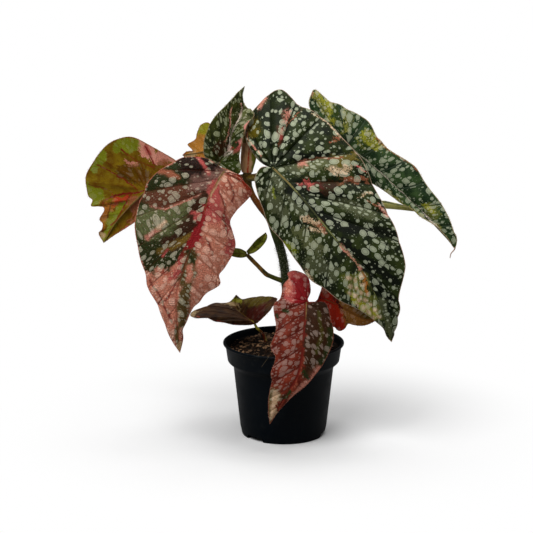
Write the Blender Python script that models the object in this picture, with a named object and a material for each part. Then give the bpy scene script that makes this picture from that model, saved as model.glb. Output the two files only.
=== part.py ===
"""Potted begonia: an angel-wing begonia with nine leaves in a 12 cm nursery pot.

The pot's axis is the Z axis and its feet stand on Z = 0. The front of the plant faces -Y.
Leaf outlines are read off one front view, so each point of a leaf or stem is given as (across, down, depth):
how many pixels of that view it lies from its left and top, and how many millimetres behind the pot's axis.
Where the view's eye stands, and how far it looks down, is given below, and seen() finds the real place.
"""

import math

import bmesh
import bpy
import numpy as np
from mathutils import Matrix, Vector, noise
from mathutils.geometry import delaunay_2d_cdt, intersect_point_line

MM = 0.001

# Driving sizes of the pot
POT_DIAMETER = 0.120
POT_HEIGHT = 0.094
WALL = 0.0015
LIP_DEPTH = 0.0022
LIP_HEIGHT = 0.0025
LIP_ROUND = 0.0005
LIP_LEAN = 0.0010
BAND_DIAMETER = 0.1152
BAND_FOOT_DIAMETER = 0.1110
BAND_FOOT_Z = 0.076
BAND_ROUND = 0.0018
SHOULDER_Z = 0.069
SHOULDER_OUT = 0.0014
SHOULDER_UP = 0.0024
INSIDE_RISE = 0.0006
BODY_DIAMETER = 0.0992
BASE_DIAMETER = 0.0860
BASE_ROUND_Z = 0.008
BASE_ROUND = 0.0028
FLOOR_ROUND = 0.0020
FOOT_DIAMETER = 0.0830
FOOT_HEIGHT = 0.0045
FOOT_WIDTH = 0.0035
FOOT_SLOPE = 0.0006
FOOT_CHAMFER = 0.0008
BASE_THICKNESS = 0.0016
CENTRE_PAD_DIAMETER = 0.016
POT_SIDES = 36
FOOT_GAP_ANGLE = math.radians(30)
FIRST_FOOT_GAP = math.radians(-44)
FOOT_GAP_COUNT = 3
FOOT_GAP_STEPS = 4
FOOT_GAP_ROOF = 0.0003
OVERCUT = 0.002
DRAIN_DIAMETER = 0.008
DRAIN_CIRCLE = 0.050
DRAIN_COUNT = 6

# Driving sizes of the plant
CLEARANCE = 0.00034
SOIL_GAP = 0.00045
SOIL_EDGE_DROP = 0.0065
SOIL_MOUND = 0.0035
SOIL_LUMP = 0.0014
SOIL_RINGS = 6
SOIL_STILL_EDGE = 0.002
COARSE_LUMPS_PER_METRE = 180
FINE_LUMPS_PER_METRE = 420
STEM_DIAMETER = 0.0086
STEM_DEPTH_IN_SOIL = 0.024
PETIOLE_DIAMETER = 0.0036
TAIL_WIDTHS = (0.0014, 0.0012, 0.0010, 0.0008)
BLADE_THICKNESS = 0.0009
ROWS_PER_VEIN = 4
STEPS_ACROSS = 6
NORMAL_SPREAD = 4
FULL_RELIEF_REACH = 0.030
ROW_MIDDLE = 0.6
MARGIN_EASE = 0.85
SHARP_ANGLE = math.radians(40)
WELD = 0.00001
MARGIN_SHARE = 0.62
LEAST_SHARE = 0.72
MARGIN_GAP_SHARE = 0.45
LEAST_EAR = 0.0011

# The front view: where the eye stands, how far it looks down, and the view's scale and centre
EYE = Vector((-0.0169, -1.9262, 0.6324))
LOOK_DOWN = math.radians(13.5)
VIEW_SCALE = 2017.0
VIEW_CENTRE = 266.5

# Base colours of the materials
POT_BLACK = (0.010, 0.013, 0.013)
COMPOST_BROWN = (0.045, 0.026, 0.015)
LEAF_GREEN = (0.035, 0.075, 0.030)
LEAF_PINK = (0.42, 0.12, 0.11)
LEAF_OLIVE = (0.16, 0.12, 0.035)
STEM_GREEN = (0.055, 0.070, 0.028)
SHEATH_TAN = (0.30, 0.19, 0.10)
SHOOT_GREEN = (0.24, 0.26, 0.05)


def clear_scene():
    for thing in list(bpy.data.objects):
        bpy.data.objects.remove(thing)


def seen(across, down, depth):
    """The point in space that the front view shows there, this many millimetres behind the pot's axis."""
    slope = (VIEW_CENTRE - down) / VIEW_SCALE
    run = depth * MM - EYE.y
    cos_down = math.cos(LOOK_DOWN)
    sin_down = math.sin(LOOK_DOWN)
    rise = run * (cos_down * slope - sin_down) / (cos_down + sin_down * slope)
    distance = cos_down * run - sin_down * rise
    side = (across - VIEW_CENTRE) / VIEW_SCALE * distance
    return EYE + Vector((side, run, rise))


def seen_all(points):
    return [seen(*point) for point in points]


def smooth_run(points, steps=10):
    """A dense run of points on the smooth curve through these ones."""
    first = points[0] * 2 - points[1]
    last = points[-1] * 2 - points[-2]
    guide = [first] + points + [last]
    run = []
    for a, b, c, d in zip(guide, guide[1:], guide[2:], guide[3:]):
        for step in range(steps):
            t = step / steps
            bend = (a * 2 - b * 5 + c * 4 - d) * t**2 + (b * 3 - a - c * 3 + d) * t**3
            run.append((b * 2 + (c - a) * t + bend) / 2)
    run.append(points[-1])
    return run


def along(points):
    """A function that gives the point at a share of the length of the smooth curve through these points."""
    run = smooth_run(points)
    lengths = [0.0]
    for a, b in zip(run, run[1:]):
        lengths.append(lengths[-1] + (b - a).length)

    def at(share):
        wanted = min(max(share, 0.0), 1.0) * lengths[-1]
        index = 1
        while index < len(lengths) - 1 and lengths[index] < wanted:
            index += 1
        span = lengths[index] - lengths[index - 1]
        return run[index - 1].lerp(run[index], (wanted - lengths[index - 1]) / span)

    return at


def material(name, colour, roughness, metallic=0.0):
    made = bpy.data.materials.new(name)
    made.use_nodes = True
    shader = made.node_tree.nodes["Principled BSDF"]
    shader.inputs["Base Color"].default_value = (*colour, 1.0)
    shader.inputs["Roughness"].default_value = roughness
    shader.inputs["Metallic"].default_value = metallic
    return made


def add_object(name, mesh, finish):
    piece = bpy.data.objects.new(name, mesh)
    bpy.context.collection.objects.link(piece)
    mesh.materials.clear()
    mesh.materials.append(finish)
    mesh.shade_smooth()
    mesh.set_sharp_from_angle(angle=SHARP_ANGLE)
    return piece


def mesh_from(shape, name):
    mesh = bpy.data.meshes.new(name)
    shape.to_mesh(mesh)
    shape.free()
    return mesh


def evaluated_copy(piece):
    bpy.context.view_layer.update()
    graph = bpy.context.evaluated_depsgraph_get()
    return bpy.data.meshes.new_from_object(piece.evaluated_get(graph))


def apply_modifiers(piece):
    mesh = evaluated_copy(piece)
    piece.modifiers.clear()
    piece.data = mesh


def combine(piece, others, operation):
    """Joins the other objects to this one, or cuts them from it, and removes them."""
    group = bpy.data.collections.new(piece.name + "_others")
    for other in others:
        group.objects.link(other)
    step = piece.modifiers.new(operation.lower(), "BOOLEAN")
    step.operation = operation
    step.operand_type = "COLLECTION"
    step.collection = group
    step.solver = "EXACT"
    apply_modifiers(piece)
    for other in others:
        bpy.data.objects.remove(other)
    bpy.data.collections.remove(group)


def cut(piece, cutters):
    for cutter in cutters:
        cutter.hide_render = True
        cutter.display_type = "WIRE"
    combine(piece, cutters, "DIFFERENCE")


def fuse(piece, others):
    combine(piece, others, "UNION")


def turned(profile, sides):
    """A closed solid turned from a profile of (radius, height) that runs from the axis round to the axis."""
    shape = bmesh.new()
    corners = [shape.verts.new((radius, 0.0, height)) for radius, height in profile]
    edges = [shape.edges.new(pair) for pair in zip(corners, corners[1:])]
    bmesh.ops.spin(
        shape,
        geom=corners + edges,
        cent=(0, 0, 0),
        axis=(0, 0, 1),
        angle=2 * math.pi,
        steps=sides,
        use_merge=True,
    )
    bmesh.ops.remove_doubles(shape, verts=shape.verts, dist=WELD)
    bmesh.ops.recalc_face_normals(shape, faces=shape.faces)
    return shape


def tube(name, points, widths, finish, sides=8, steps=2):
    """A round stalk along the smooth curve through these points, its width changing evenly between them."""
    curve = bpy.data.curves.new(name, "CURVE")
    curve.dimensions = "3D"
    curve.bevel_depth = 1.0
    curve.bevel_resolution = sides // 2 - 2
    curve.use_fill_caps = True
    run = smooth_run(points, steps)
    line = curve.splines.new("POLY")
    line.points.add(len(run) - 1)
    for index, (spot, point) in enumerate(zip(line.points, run)):
        place = min(index / steps, len(widths) - 1.001)
        before = int(place)
        width = widths[before] + (widths[before + 1] - widths[before]) * (place - before)
        spot.co = (*point, 1.0)
        spot.radius = width / 2
    stalk = bpy.data.objects.new(name, curve)
    bpy.context.collection.objects.link(stalk)
    mesh = evaluated_copy(stalk)
    bpy.data.objects.remove(stalk)
    shape = bmesh.new()
    shape.from_mesh(mesh)
    bmesh.ops.remove_doubles(shape, verts=shape.verts, dist=WELD / 10)
    bmesh.ops.triangulate(shape, faces=shape.faces)
    bmesh.ops.recalc_face_normals(shape, faces=shape.faces)
    return add_object(name, mesh_from(shape, name), finish)


# Pot

def pot_outside():
    """The pot's outer profile, from the middle of its underside up to the top of its lip."""
    pad = CENTRE_PAD_DIAMETER / 2
    foot = FOOT_DIAMETER / 2
    return [
        (0.0, 0.0),
        (pad, 0.0),
        (pad + FOOT_SLOPE, FOOT_HEIGHT),
        (foot - FOOT_WIDTH - FOOT_SLOPE, FOOT_HEIGHT),
        (foot - FOOT_WIDTH, 0.0),
        (foot - FOOT_CHAMFER, 0.0),
        (foot, FOOT_CHAMFER),
        (BASE_DIAMETER / 2 - FOOT_SLOPE, BASE_ROUND_Z - BASE_ROUND),
        (BASE_DIAMETER / 2, BASE_ROUND_Z),
        (BODY_DIAMETER / 2, SHOULDER_Z),
        (BODY_DIAMETER / 2 + SHOULDER_OUT, SHOULDER_Z + SHOULDER_UP),
        (BAND_FOOT_DIAMETER / 2 - BAND_ROUND, BAND_FOOT_Z - BAND_ROUND),
        (BAND_FOOT_DIAMETER / 2, BAND_FOOT_Z),
        (BAND_DIAMETER / 2, POT_HEIGHT - LIP_HEIGHT - LIP_LEAN),
        (POT_DIAMETER / 2 - LIP_ROUND, POT_HEIGHT - LIP_HEIGHT),
        (POT_DIAMETER / 2, POT_HEIGHT - LIP_HEIGHT / 2),
        (POT_DIAMETER / 2 - LIP_ROUND, POT_HEIGHT - LIP_ROUND),
        (POT_DIAMETER / 2 - 2 * LIP_ROUND, POT_HEIGHT),
    ]


def pot_inside(gap=0.0):
    """The pot's inner profile, from the lip down to the middle of its floor, set in by a gap."""
    step = WALL + gap
    floor_z = FOOT_HEIGHT + BASE_THICKNESS + gap
    return [
        (BAND_DIAMETER / 2 - step, POT_HEIGHT - LIP_HEIGHT - LIP_LEAN),
        (BAND_FOOT_DIAMETER / 2 - step, BAND_FOOT_Z + INSIDE_RISE),
        (BODY_DIAMETER / 2 - step, SHOULDER_Z + INSIDE_RISE),
        (BASE_DIAMETER / 2 - step, floor_z + FLOOR_ROUND),
        (BASE_DIAMETER / 2 - step - FLOOR_ROUND, floor_z),
        (0.0, floor_z),
    ]


def make_pot(finish):
    lip = [
        (POT_DIAMETER / 2 - LIP_DEPTH, POT_HEIGHT),
        (POT_DIAMETER / 2 - LIP_DEPTH - LIP_ROUND, POT_HEIGHT - LIP_ROUND),
    ]
    shape = turned(pot_outside() + lip + pot_inside(), POT_SIDES)
    pot = add_object("pot", mesh_from(shape, "pot"), finish)
    cutters = [foot_gap(index, finish) for index in range(FOOT_GAP_COUNT)]
    cutters += [drain_hole(index, finish) for index in range(DRAIN_COUNT)]
    cut(pot, cutters)
    return pot


def foot_gap(index, finish):
    """One of the openings in the foot ring that let water out."""
    middle = FIRST_FOOT_GAP + index * 2 * math.pi / FOOT_GAP_COUNT
    shape = bmesh.new()
    inner, outer = [], []
    for rim, radius in (
        (inner, FOOT_DIAMETER / 2 - FOOT_WIDTH - OVERCUT),
        (outer, BASE_DIAMETER / 2 + OVERCUT),
    ):
        for step in range(FOOT_GAP_STEPS + 1):
            angle = middle + (step / FOOT_GAP_STEPS - 0.5) * FOOT_GAP_ANGLE
            rim.append(shape.verts.new((radius * math.sin(angle), -radius * math.cos(angle), -OVERCUT)))
    outline = inner + outer[::-1]
    floor = shape.faces.new(outline)
    lifted = bmesh.ops.extrude_face_region(shape, geom=[floor])
    top = [item for item in lifted["geom"] if isinstance(item, bmesh.types.BMVert)]
    bmesh.ops.translate(shape, verts=top, vec=(0, 0, FOOT_HEIGHT - FOOT_GAP_ROOF + OVERCUT))
    bmesh.ops.recalc_face_normals(shape, faces=shape.faces)
    return add_object(f"foot_gap_{index}", mesh_from(shape, "foot_gap"), finish)


def drain_hole(index, finish):
    angle = index * 2 * math.pi / DRAIN_COUNT
    centre = (DRAIN_CIRCLE / 2 * math.cos(angle), DRAIN_CIRCLE / 2 * math.sin(angle), FOOT_HEIGHT)
    shape = bmesh.new()
    bmesh.ops.create_cone(
        shape,
        cap_ends=True,
        segments=12,
        radius1=DRAIN_DIAMETER / 2,
        radius2=DRAIN_DIAMETER / 2,
        depth=2 * FOOT_HEIGHT,
        matrix=Matrix.Translation(centre),
    )
    return add_object(f"drain_{index}", mesh_from(shape, "drain"), finish)


# Soil

def make_soil(finish):
    inside = pot_inside(SOIL_GAP)
    edge_z = POT_HEIGHT - SOIL_EDGE_DROP
    lower = BAND_FOOT_Z + INSIDE_RISE
    upper = POT_HEIGHT - LIP_HEIGHT - LIP_LEAN
    share = (edge_z - lower) / (upper - lower)
    edge_radius = inside[1][0] + (inside[0][0] - inside[1][0]) * share
    top = []
    for ring in range(SOIL_RINGS + 1):
        out = ring / SOIL_RINGS
        top.append((edge_radius * out, edge_z + SOIL_MOUND * (1 - out**2)))
    shape = turned(top + inside[1:], POT_SIDES)
    for corner in shape.verts:
        reach = math.hypot(corner.co.x, corner.co.y)
        if corner.co.z >= edge_z and reach < edge_radius - SOIL_STILL_EDGE:
            rough = noise.noise(corner.co * COARSE_LUMPS_PER_METRE)
            rough += 0.5 * noise.noise(corner.co * FINE_LUMPS_PER_METRE)
            corner.co.z += SOIL_LUMP * rough
    bmesh.ops.triangulate(shape, faces=shape.faces)
    return add_object("soil", mesh_from(shape, "soil"), finish)


# Stems

STEM_PATH = [
    (285.0, 365.0, 3),
    (285.5, 340.0, 2),
    (286.5, 318.0, 1),
    (286.5, 298.0, 0),
    (285.3, 276.0, 0),
    (283.3, 261.0, 0),
    (279.9, 247.0, 0),
    (274.8, 232.0, 0),
    (269.5, 218.0, 0),
    (260.5, 207.0, 0),
    (253.4, 197.0, 0),
    (249.2, 187.0, 0),
    (247.4, 180.0, 0),
    (247.2, 172.8, 0),
]
STEM_WIDTHS = [0.96, 1.0, 1.0, 1.0, 1.0, 1.0, 1.0, 0.99, 0.94, 0.78, 0.70, 0.72, 1.05, 1.0]


def make_stem(name, finish, grow=0.0):
    widths = [STEM_DIAMETER * width + 2 * grow for width in STEM_WIDTHS]
    points = seen_all(STEM_PATH)
    points[0].z = POT_HEIGHT - SOIL_EDGE_DROP - STEM_DEPTH_IN_SOIL - grow
    return tube(name, points, widths, finish)


# Leaf shapes
# Each list of points starts at the hub, where the stalk joins the blade, and ends at the tip. "low" and
# "high" are the margins on the two sides of the rib. A fan is the share of the margin that is reached from
# the hub, and its count of veins. "rib_veins" start further along. Pleat, arch and facet are in millimetres.

FRONT_LEAF = {
    "rib": [
        (273, 168, -45), (291, 185.5, -53), (308, 205, -60), (336, 239, -69), (361, 269, -75),
        (379, 303, -76),
        (391.5, 342, -72),
    ],
    "low": [
        (266, 166.6, -44), (260.5, 168, -42), (256, 175.5, -40.5), (255.2, 183, -40), (263, 208.5, -46),
        (270.3, 226.7, -50), (284.8, 243.6, -54), (298.2, 263, -58), (310.3, 278.8, -60),
        (324.8, 288.5, -62),
        (343, 301.8, -65), (361, 310, -68), (374.5, 320, -71), (383, 327.3, -72), (386.7, 335.8, -72),
        (391.5, 342, -72),
    ],
    "high": [
        (269.5, 167, -43), (263.5, 164.2, -38), (256.5, 157.4, -28), (247.3, 140.5, -12), (246.8, 122, 0),
        (259, 106.4, 5),
        (269.3, 94.7, 11), (281, 91, 12), (291.3, 98.7, 8), (300.5, 107.4, 4), (310.4, 111.5, 3),
        (325, 121, -2),
        (341.2, 138.7, -8), (357.4, 154.8, -15), (367.6, 173.9, -21), (376.4, 194.4, -28),
        (387, 213.4, -36),
        (398.4, 239.9, -48), (404, 262, -56), (403.6, 273, -60), (398.8, 294.5, -66), (398.8, 309, -69),
        (396.4, 322.4, -71), (391.5, 342, -72),
    ],
    "low_fan": (0.13, 1),
    "high_fan": (0.56, 4),
    "rib_veins": 5,
    "pleat": 2.2,
    "arch": 3.0,
    "facet": 8.5,
    "upper": (0, -1, 0.3),
    "stalk": [(248.5, 177.6, -1), (256, 177, -14), (265, 172, -34), (273, 168, -45)],
    "stalk_widths": (2.0, 2.0, 1.2, 0.6),
}

LEFT_LEAF = {
    "rib": [
        (223.5, 171.5, -40), (209.3, 195.7, -49), (201.6, 221.2, -57), (191.4, 246.7, -64),
        (183.8, 268.4, -68),
        (177.4, 287.6, -71), (176, 306.7, -73), (177.4, 325.8, -73), (180, 352.6, -70),
    ],
    "low": [
        (221, 167.4, -38), (215.2, 163.4, -34), (206, 158.8, -30), (192.2, 157, -28), (182.5, 158.2, -30),
        (173.6, 162.6, -33), (158.3, 171.5, -38), (146.8, 184.2, -42), (144.2, 193.2, -44),
        (139, 203.4, -46),
        (135.3, 220, -50), (135.3, 231.4, -52), (137.9, 246.7, -55), (141, 260.8, -58), (146, 274.8, -61),
        (148, 287.6, -63), (157, 303, -66), (163.4, 319.4, -68), (171, 338.6, -70), (180, 352.6, -70),
    ],
    "high": [
        (227.5, 169.5, -38), (233.6, 172.7, -34), (240.8, 176.5, -29), (244, 182.5, -28),
        (250.3, 188.5, -28),
        (251.5, 192, -29), (249.7, 196.3, -32), (235.3, 211.8, -43), (229.7, 221.2, -47),
        (232.2, 231.4, -47),
        (234.8, 248, -49), (224.6, 267, -56), (218.9, 274.8, -59), (219.5, 284.4, -60), (206.7, 292.7, -64),
        (199, 302, -67), (192.7, 308, -69), (186.3, 322, -71), (182.5, 330, -71), (183.1, 338.6, -71),
        (180, 352.6, -70),
    ],
    "low_fan": (0.36, 3),
    "high_fan": (0.16, 1),
    "rib_veins": 6,
    "pleat": 2.0,
    "arch": 3.0,
    "facet": 8,
    "upper": (0, -1, 0.3),
    "stalk": [(250, 189.5, 0), (243, 190, -15), (232, 183, -32), (223.5, 171.5, -40)],
    "stalk_widths": (1.3, 1.05, 0.9, 0.6),
}

REAR_LEFT_LEAF = {
    "rib": [(147, 190, 9), (129, 207, 20), (114, 225, 27), (103.7, 242.8, 31)],
    "low": [
        (149, 194, 10), (148, 205, 13), (142, 216, 17), (134.5, 222.3, 20), (125.7, 228.2, 24),
        (114, 235.5, 28),
        (103.7, 242.8, 31),
    ],
    "high": [
        (151, 188, 8), (163, 187, 6), (177, 180, 5), (181, 169, 7), (175.6, 160.7, 9), (163.9, 153.3, 12),
        (150.7, 146, 15), (133, 137.2, 19), (118.4, 138.7, 24), (105.2, 146, 29), (94.9, 159.2, 34),
        (86, 173.9, 38), (86, 185.6, 39), (87.6, 195.9, 38), (92, 200.3, 37), (91.3, 206.2, 36),
        (101.5, 206.9, 33), (103.7, 210.6, 32), (99.3, 219.4, 33), (102.3, 223.8, 32), (101.5, 229.6, 32),
        (98.6, 234, 33), (103.7, 242.8, 31),
    ],
    "low_fan": (0.2, 1),
    "high_fan": (0.66, 5),
    "rib_veins": 3,
    "pleat": 1.8,
    "arch": 4.0,
    "facet": 8,
    "upper": (0, 1, 0.3),
    "stalk": [(249, 179, 1), (236, 182, 10), (205, 187, 20), (172, 193, 22), (155, 193, 16), (147, 190, 9)],
    "stalk_widths": (1.3, 1.1, 1.0, 1.0, 0.8, 0.6),
}

UPRIGHT_LEAF = {
    "rib": [
        (219.5, 162.5, -14), (228.4, 151, -9), (231.4, 133.3, -5), (236.6, 122.3, -3), (239.8, 115.8, -1),
        (243, 107.3, 1), (241.6, 98.9, 3), (244.6, 86.2, 4),
    ],
    "low": [
        (216, 164.5, -15), (207.3, 161.9, -17), (203.4, 150.9, -18), (204.7, 137.2, -16),
        (211.2, 121.6, -13),
        (218.3, 112.5, -10), (227.8, 103, -6), (237.4, 92.4, -1), (244.6, 86.2, 4),
    ],
    "high": [
        (221.5, 166.5, -15), (226, 170.5, -17), (236, 175, -18), (241.1, 170, -17), (239.5, 158, -16),
        (240.5, 150, -16), (244.4, 135.3, -17), (247.6, 125.5, -17), (254, 116.4, -14), (251.8, 109.9, -9),
        (247.6, 108, -4), (244, 103, 1), (242.6, 96, 3), (244.6, 86.2, 4),
    ],
    "low_fan": (0.32, 2),
    "high_fan": (0.4, 3),
    "rib_veins": 4,
    "pleat": 1.3,
    "arch": 1.5,
    "facet": 5.2,
    "upper": (0, -1, 0.2),
    "stalk": [(247, 175.5, 0), (238, 176, -1), (228, 170.5, -7), (219.5, 162.5, -14)],
    "stalk_widths": (1.2, 1.0, 0.8, 0.55),
}

SMALL_REAR_LEAF = {
    "rib": [(212, 150, 21), (201, 152, 24), (191, 153.6, 26), (182.4, 155, 27)],
    "low": [
        (210, 154, 21), (208, 161, 21), (202, 163, 22), (193, 160.5, 24), (186, 158.6, 26), (182.4, 155, 27),
    ],
    "high": [
        (214, 146, 21), (215, 138, 22), (213, 129, 23), (208, 122.5, 25), (200.8, 124.8, 27),
        (197.2, 132, 28),
        (195.7, 138.5, 28), (192.5, 141.3, 28), (187.4, 144.4, 28), (191, 148.2, 27), (193.6, 150.6, 26),
        (190, 151.1, 26), (186, 151.8, 27), (182.4, 155, 27),
    ],
    "low_fan": (0.3, 1),
    "high_fan": (0.55, 2),
    "rib_veins": 2,
    "pleat": 0.9,
    "arch": 1.5,
    "facet": 4,
    "upper": (0, 1, 0.3),
    "stalk": [(248, 175.5, 2), (246.5, 172, 12), (237, 166, 20), (222, 158, 23), (212, 150, 21)],
    "stalk_widths": (0.8, 0.75, 0.7, 0.65, 0.5),
}

REAR_RIGHT_LEAF = {
    "rib": [
        (348, 145, 11), (364, 159, 12), (380, 173, 11), (396, 187, 8), (420, 210, 2), (440, 231, -3),
        (449, 241, -6), (455, 249, -7),
    ],
    "low": [
        (345.5, 148, 12), (350, 160, 14), (358, 170, 13), (367.8, 181.4, 11), (373.4, 184, 9),
        (383.2, 190.2, 7), (393, 197.4, 5), (402.2, 204.2, 3), (413.2, 210.2, 0), (419.8, 216.6, -1),
        (430.5, 222.9, -4), (437.7, 228.2, -6), (446.6, 237.1, -8), (452, 245.4, -8), (455, 249, -7),
    ],
    "high": [
        (344.5, 141.5, 12), (335, 135, 16), (322, 122, 18), (312, 111.3, 17), (308.9, 103, 16),
        (310.4, 96, 16),
        (314.7, 89.2, 16), (324.2, 96.6, 15), (330, 101.7, 15), (339.5, 104.2, 15), (347.2, 109.3, 14),
        (354.8, 112.5, 14), (366.3, 119.5, 13), (372, 126.6, 12), (376.5, 136.1, 11), (381.6, 141.2, 10),
        (388.6, 148.9, 9), (408.2, 161.3, 5), (417.1, 168.4, 3), (426, 183.6, 0), (438.6, 199.6, -5),
        (448.4, 215.7, -8), (453.8, 230.9, -10), (456.9, 237.1, -10), (456.8, 243.5, -9), (455, 249, -7),
    ],
    "tail": [(455.2, 247, -7.5), (454, 250, -7), (451, 253.6, -6), (450, 258, -5)],
    "low_fan": (0.2, 2),
    "high_fan": (0.44, 4),
    "rib_veins": 5,
    "pleat": 1.3,
    "arch": 2.5,
    "facet": 7,
    "upper": (0, -1, 0.4),
    "stalk": [
        (268, 219, 1), (284, 214, 14), (308, 198, 26), (332, 172, 28), (344, 153, 20), (348, 145, 11),
    ],
    "stalk_widths": (1.4, 1.1, 1.0, 1.0, 0.8, 0.6),
}

LOWER_LEFT_LEAF = {
    "rib": [(254, 322.5, 8), (246, 317, 24), (239, 311.5, 38), (235.5, 305, 48), (236.3, 294.8, 52)],
    "low": [
        (251, 325, 6), (237.4, 325.2, 2), (226, 323.7, 0), (214.4, 321.4, 0), (203, 317.4, 3),
        (196.5, 318.4, 6), (190.3, 316.6, 10), (192.6, 311.8, 17), (199.5, 309.4, 24), (214.4, 303.7, 36),
        (228.2, 302.6, 46), (236.3, 294.8, 52),
    ],
    "high": [
        (257, 323.3, 6), (265, 316.4, 6), (271.8, 308.4, 8), (277.6, 299.2, 15), (268.4, 297, 28),
        (258, 297, 38), (248, 298.4, 44), (242, 299.2, 48), (236.3, 294.8, 52),
    ],
    "low_fan": (0.42, 3),
    "high_fan": (0.42, 2),
    "rib_veins": 3,
    "pleat": 1.4,
    "arch": 2.5,
    "facet": 6.2,
    "upper": (0, 0.2, 1),
    "stalk": [(266.5, 352, 9), (265.8, 341, 9), (262.5, 333.5, 9), (257, 328, 8.5), (254, 322.5, 8)],
    "stalk_widths": (0.9, 0.9, 0.8, 0.8, 0.6),
}

RIM_LEAF = {
    "rib": [
        (306.4, 302.3, -35), (306, 315, -48), (304.5, 330, -58), (303, 347, -65), (298, 374, -69),
        (283.5, 399, -68), (270, 423.8, -62),
    ],
    "low": [
        (307.4, 299, -33.5), (310.5, 291.2, -30), (309.2, 280.4, -25), (307, 275.9, -22),
        (301.2, 272.7, -20),
        (293.6, 270.8, -20), (287.5, 273.3, -22), (288.5, 278.4, -25), (283.4, 284.8, -28),
        (281.5, 294.4, -34),
        (279.3, 300, -38), (273.3, 306.6, -44), (276, 329.4, -57), (270.6, 346.8, -64), (275.5, 357.6, -66),
        (271, 372.8, -68), (272, 380, -68), (269, 395.6, -66), (268.5, 412, -64), (270, 423.8, -62),
    ],
    "high": [
        (309.5, 303.5, -36), (317, 302.3, -36), (326, 303.4, -35), (330, 316.4, -41), (333, 329.4, -48),
        (332.4, 342.4, -54), (325, 360, -61), (315, 375, -65), (304.2, 387, -67), (293.4, 395.6, -68),
        (278, 411.8, -65), (270, 423.8, -62),
    ],
    "low_fan": (0.46, 4),
    "high_fan": (0.2, 1),
    "rib_veins": 5,
    "pleat": 1.6,
    "arch": 2.5,
    "facet": 6,
    "upper": (0, -1, 0.4),
    "stalk": [(286.5, 308, 1), (293, 312, -10), (302, 308, -26), (306.4, 302.3, -35)],
    "stalk_widths": (1.2, 0.9, 0.85, 0.6),
}

LOWER_RIGHT_LEAF = {
    "rib": [(321, 297.5, -8), (336, 304, -2), (350, 312, 2), (363, 318.5, 2), (375, 321, 0)],
    "low": [
        (317, 301, -8), (314, 309, -6), (318, 320, -4), (326, 325, -2), (333.6, 326.5, -1),
        (338.8, 330.7, 0),
        (344.4, 328.7, 0), (348, 323.8, 1), (353, 324.8, 1), (360.2, 325.8, 1), (367.8, 324.6, 1),
        (375, 321, 0),
    ],
    "high": [
        (320, 293, -7), (323.6, 284.6, -5), (332, 282, 0), (345, 285, 5), (358, 294, 8), (368, 306, 6),
        (373.2, 315, 3), (375, 321, 0),
    ],
    "low_fan": (0.3, 2),
    "high_fan": (0.3, 2),
    "rib_veins": 3,
    "pleat": 1.2,
    "arch": 2.0,
    "facet": 5,
    "upper": (0, -1, 0.8),
    "stalk": [(286.5, 314, 1), (296, 317, 3), (309, 309, -2), (321, 297.5, -8)],
    "stalk_widths": (1.1, 0.8, 0.75, 0.55),
}

SIDE_RIGHT_LEAF = {
    "rib": [(247.5, 253, 1), (254, 248, 2), (261, 241.5, 2), (265.8, 232.5, 0)],
    "low": [(246.6, 251, 0), (250.4, 246.8, -2), (256, 240.2, -3), (261.7, 235.6, -2), (265.8, 232.5, 0)],
    "high": [
        (249.4, 254.4, 0), (254.7, 252.3, -2), (261, 247.2, -3), (265.5, 241.5, -3), (267.2, 236.4, -1),
        (265.8, 232.5, 0),
    ],
    "low_fan": (0.12, 1),
    "high_fan": (0.12, 1),
    "rib_veins": 2,
    "pleat": 0.3,
    "arch": -0.3,
    "facet": 3.4,
    "upper": (0, -1, 0.3),
}

SIDE_LEFT_LEAF = {
    "rib": [(246.8, 254.3, 0), (238, 253.2, 2), (226, 251.4, 3)],
    "low": [(246, 251.6, -1), (240, 248.8, -2), (232, 248.4, 0), (226, 251.4, 3)],
    "high": [(246.2, 256.9, 0), (240, 257.8, 0), (231.5, 256, 2), (226, 251.4, 3)],
    "low_fan": (0.12, 1),
    "high_fan": (0.12, 1),
    "rib_veins": 2,
    "pleat": 0.2,
    "arch": 0.3,
    "facet": 2.8,
    "upper": (0, -0.4, 1),
}


# Shoots
# Each is a run of points with its width there, in millimetres.

SIDE_SHOOT = [
    ((284.0, 281.2, 0), 5.4), ((277.0, 278.9, 0), 4.6), ((270.6, 276.3, -1), 4.4),
    ((265.8, 273.8, -1), 4.7),
    ((258.0, 266.0, -1), 4.1), ((251.5, 259.4, 0), 4.2), ((246.8, 254.6, 0), 3.6),
]
STIPULE_SHEATH = [
    ((247.2, 172.3, 0), 10.6), ((247.3, 166.0, 0), 13.2), ((248.4, 157.5, 0), 15.4),
    ((248.5, 147.0, 2), 14.0),
    ((247.8, 137.0, 5), 9.6), ((247.4, 129.5, 8), 5.0), ((247.2, 125.0, 9), 1.4),
]
RIGHT_SHOOT = [
    ((271.0, 225.0, 1), 3.6), ((290.0, 226.5, 15), 3.3), ((330.0, 215.0, 24), 3.3),
    ((366.0, 206.0, 22), 3.6),
    ((376.0, 204.2, 21), 6.6), ((384.0, 204.6, 20), 7.9), ((399.0, 206.8, 19), 5.9),
    ((411.0, 209.4, 18), 3.4),
    ((421.0, 211.6, 18), 1.2),
]
SHEATH_FLATNESS = 0.5


def make_shoot(name, shoot, finish, grow=0.0, steps=2):
    points = seen_all([point for point, _ in shoot])
    points[-1] += (points[-1] - points[-2]).normalized() * grow
    widths = [width * MM + 2 * grow for _, width in shoot]
    return tube(name, points, widths, finish, steps=steps)


def make_stipule_sheath(finish):
    """The papery sheath round the growing tip, flatter from front to back than it is wide."""
    sheath = make_shoot("stipule_sheath", STIPULE_SHEATH, finish)
    for corner in sheath.data.vertices:
        corner.co.y *= SHEATH_FLATNESS
    return sheath


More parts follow.
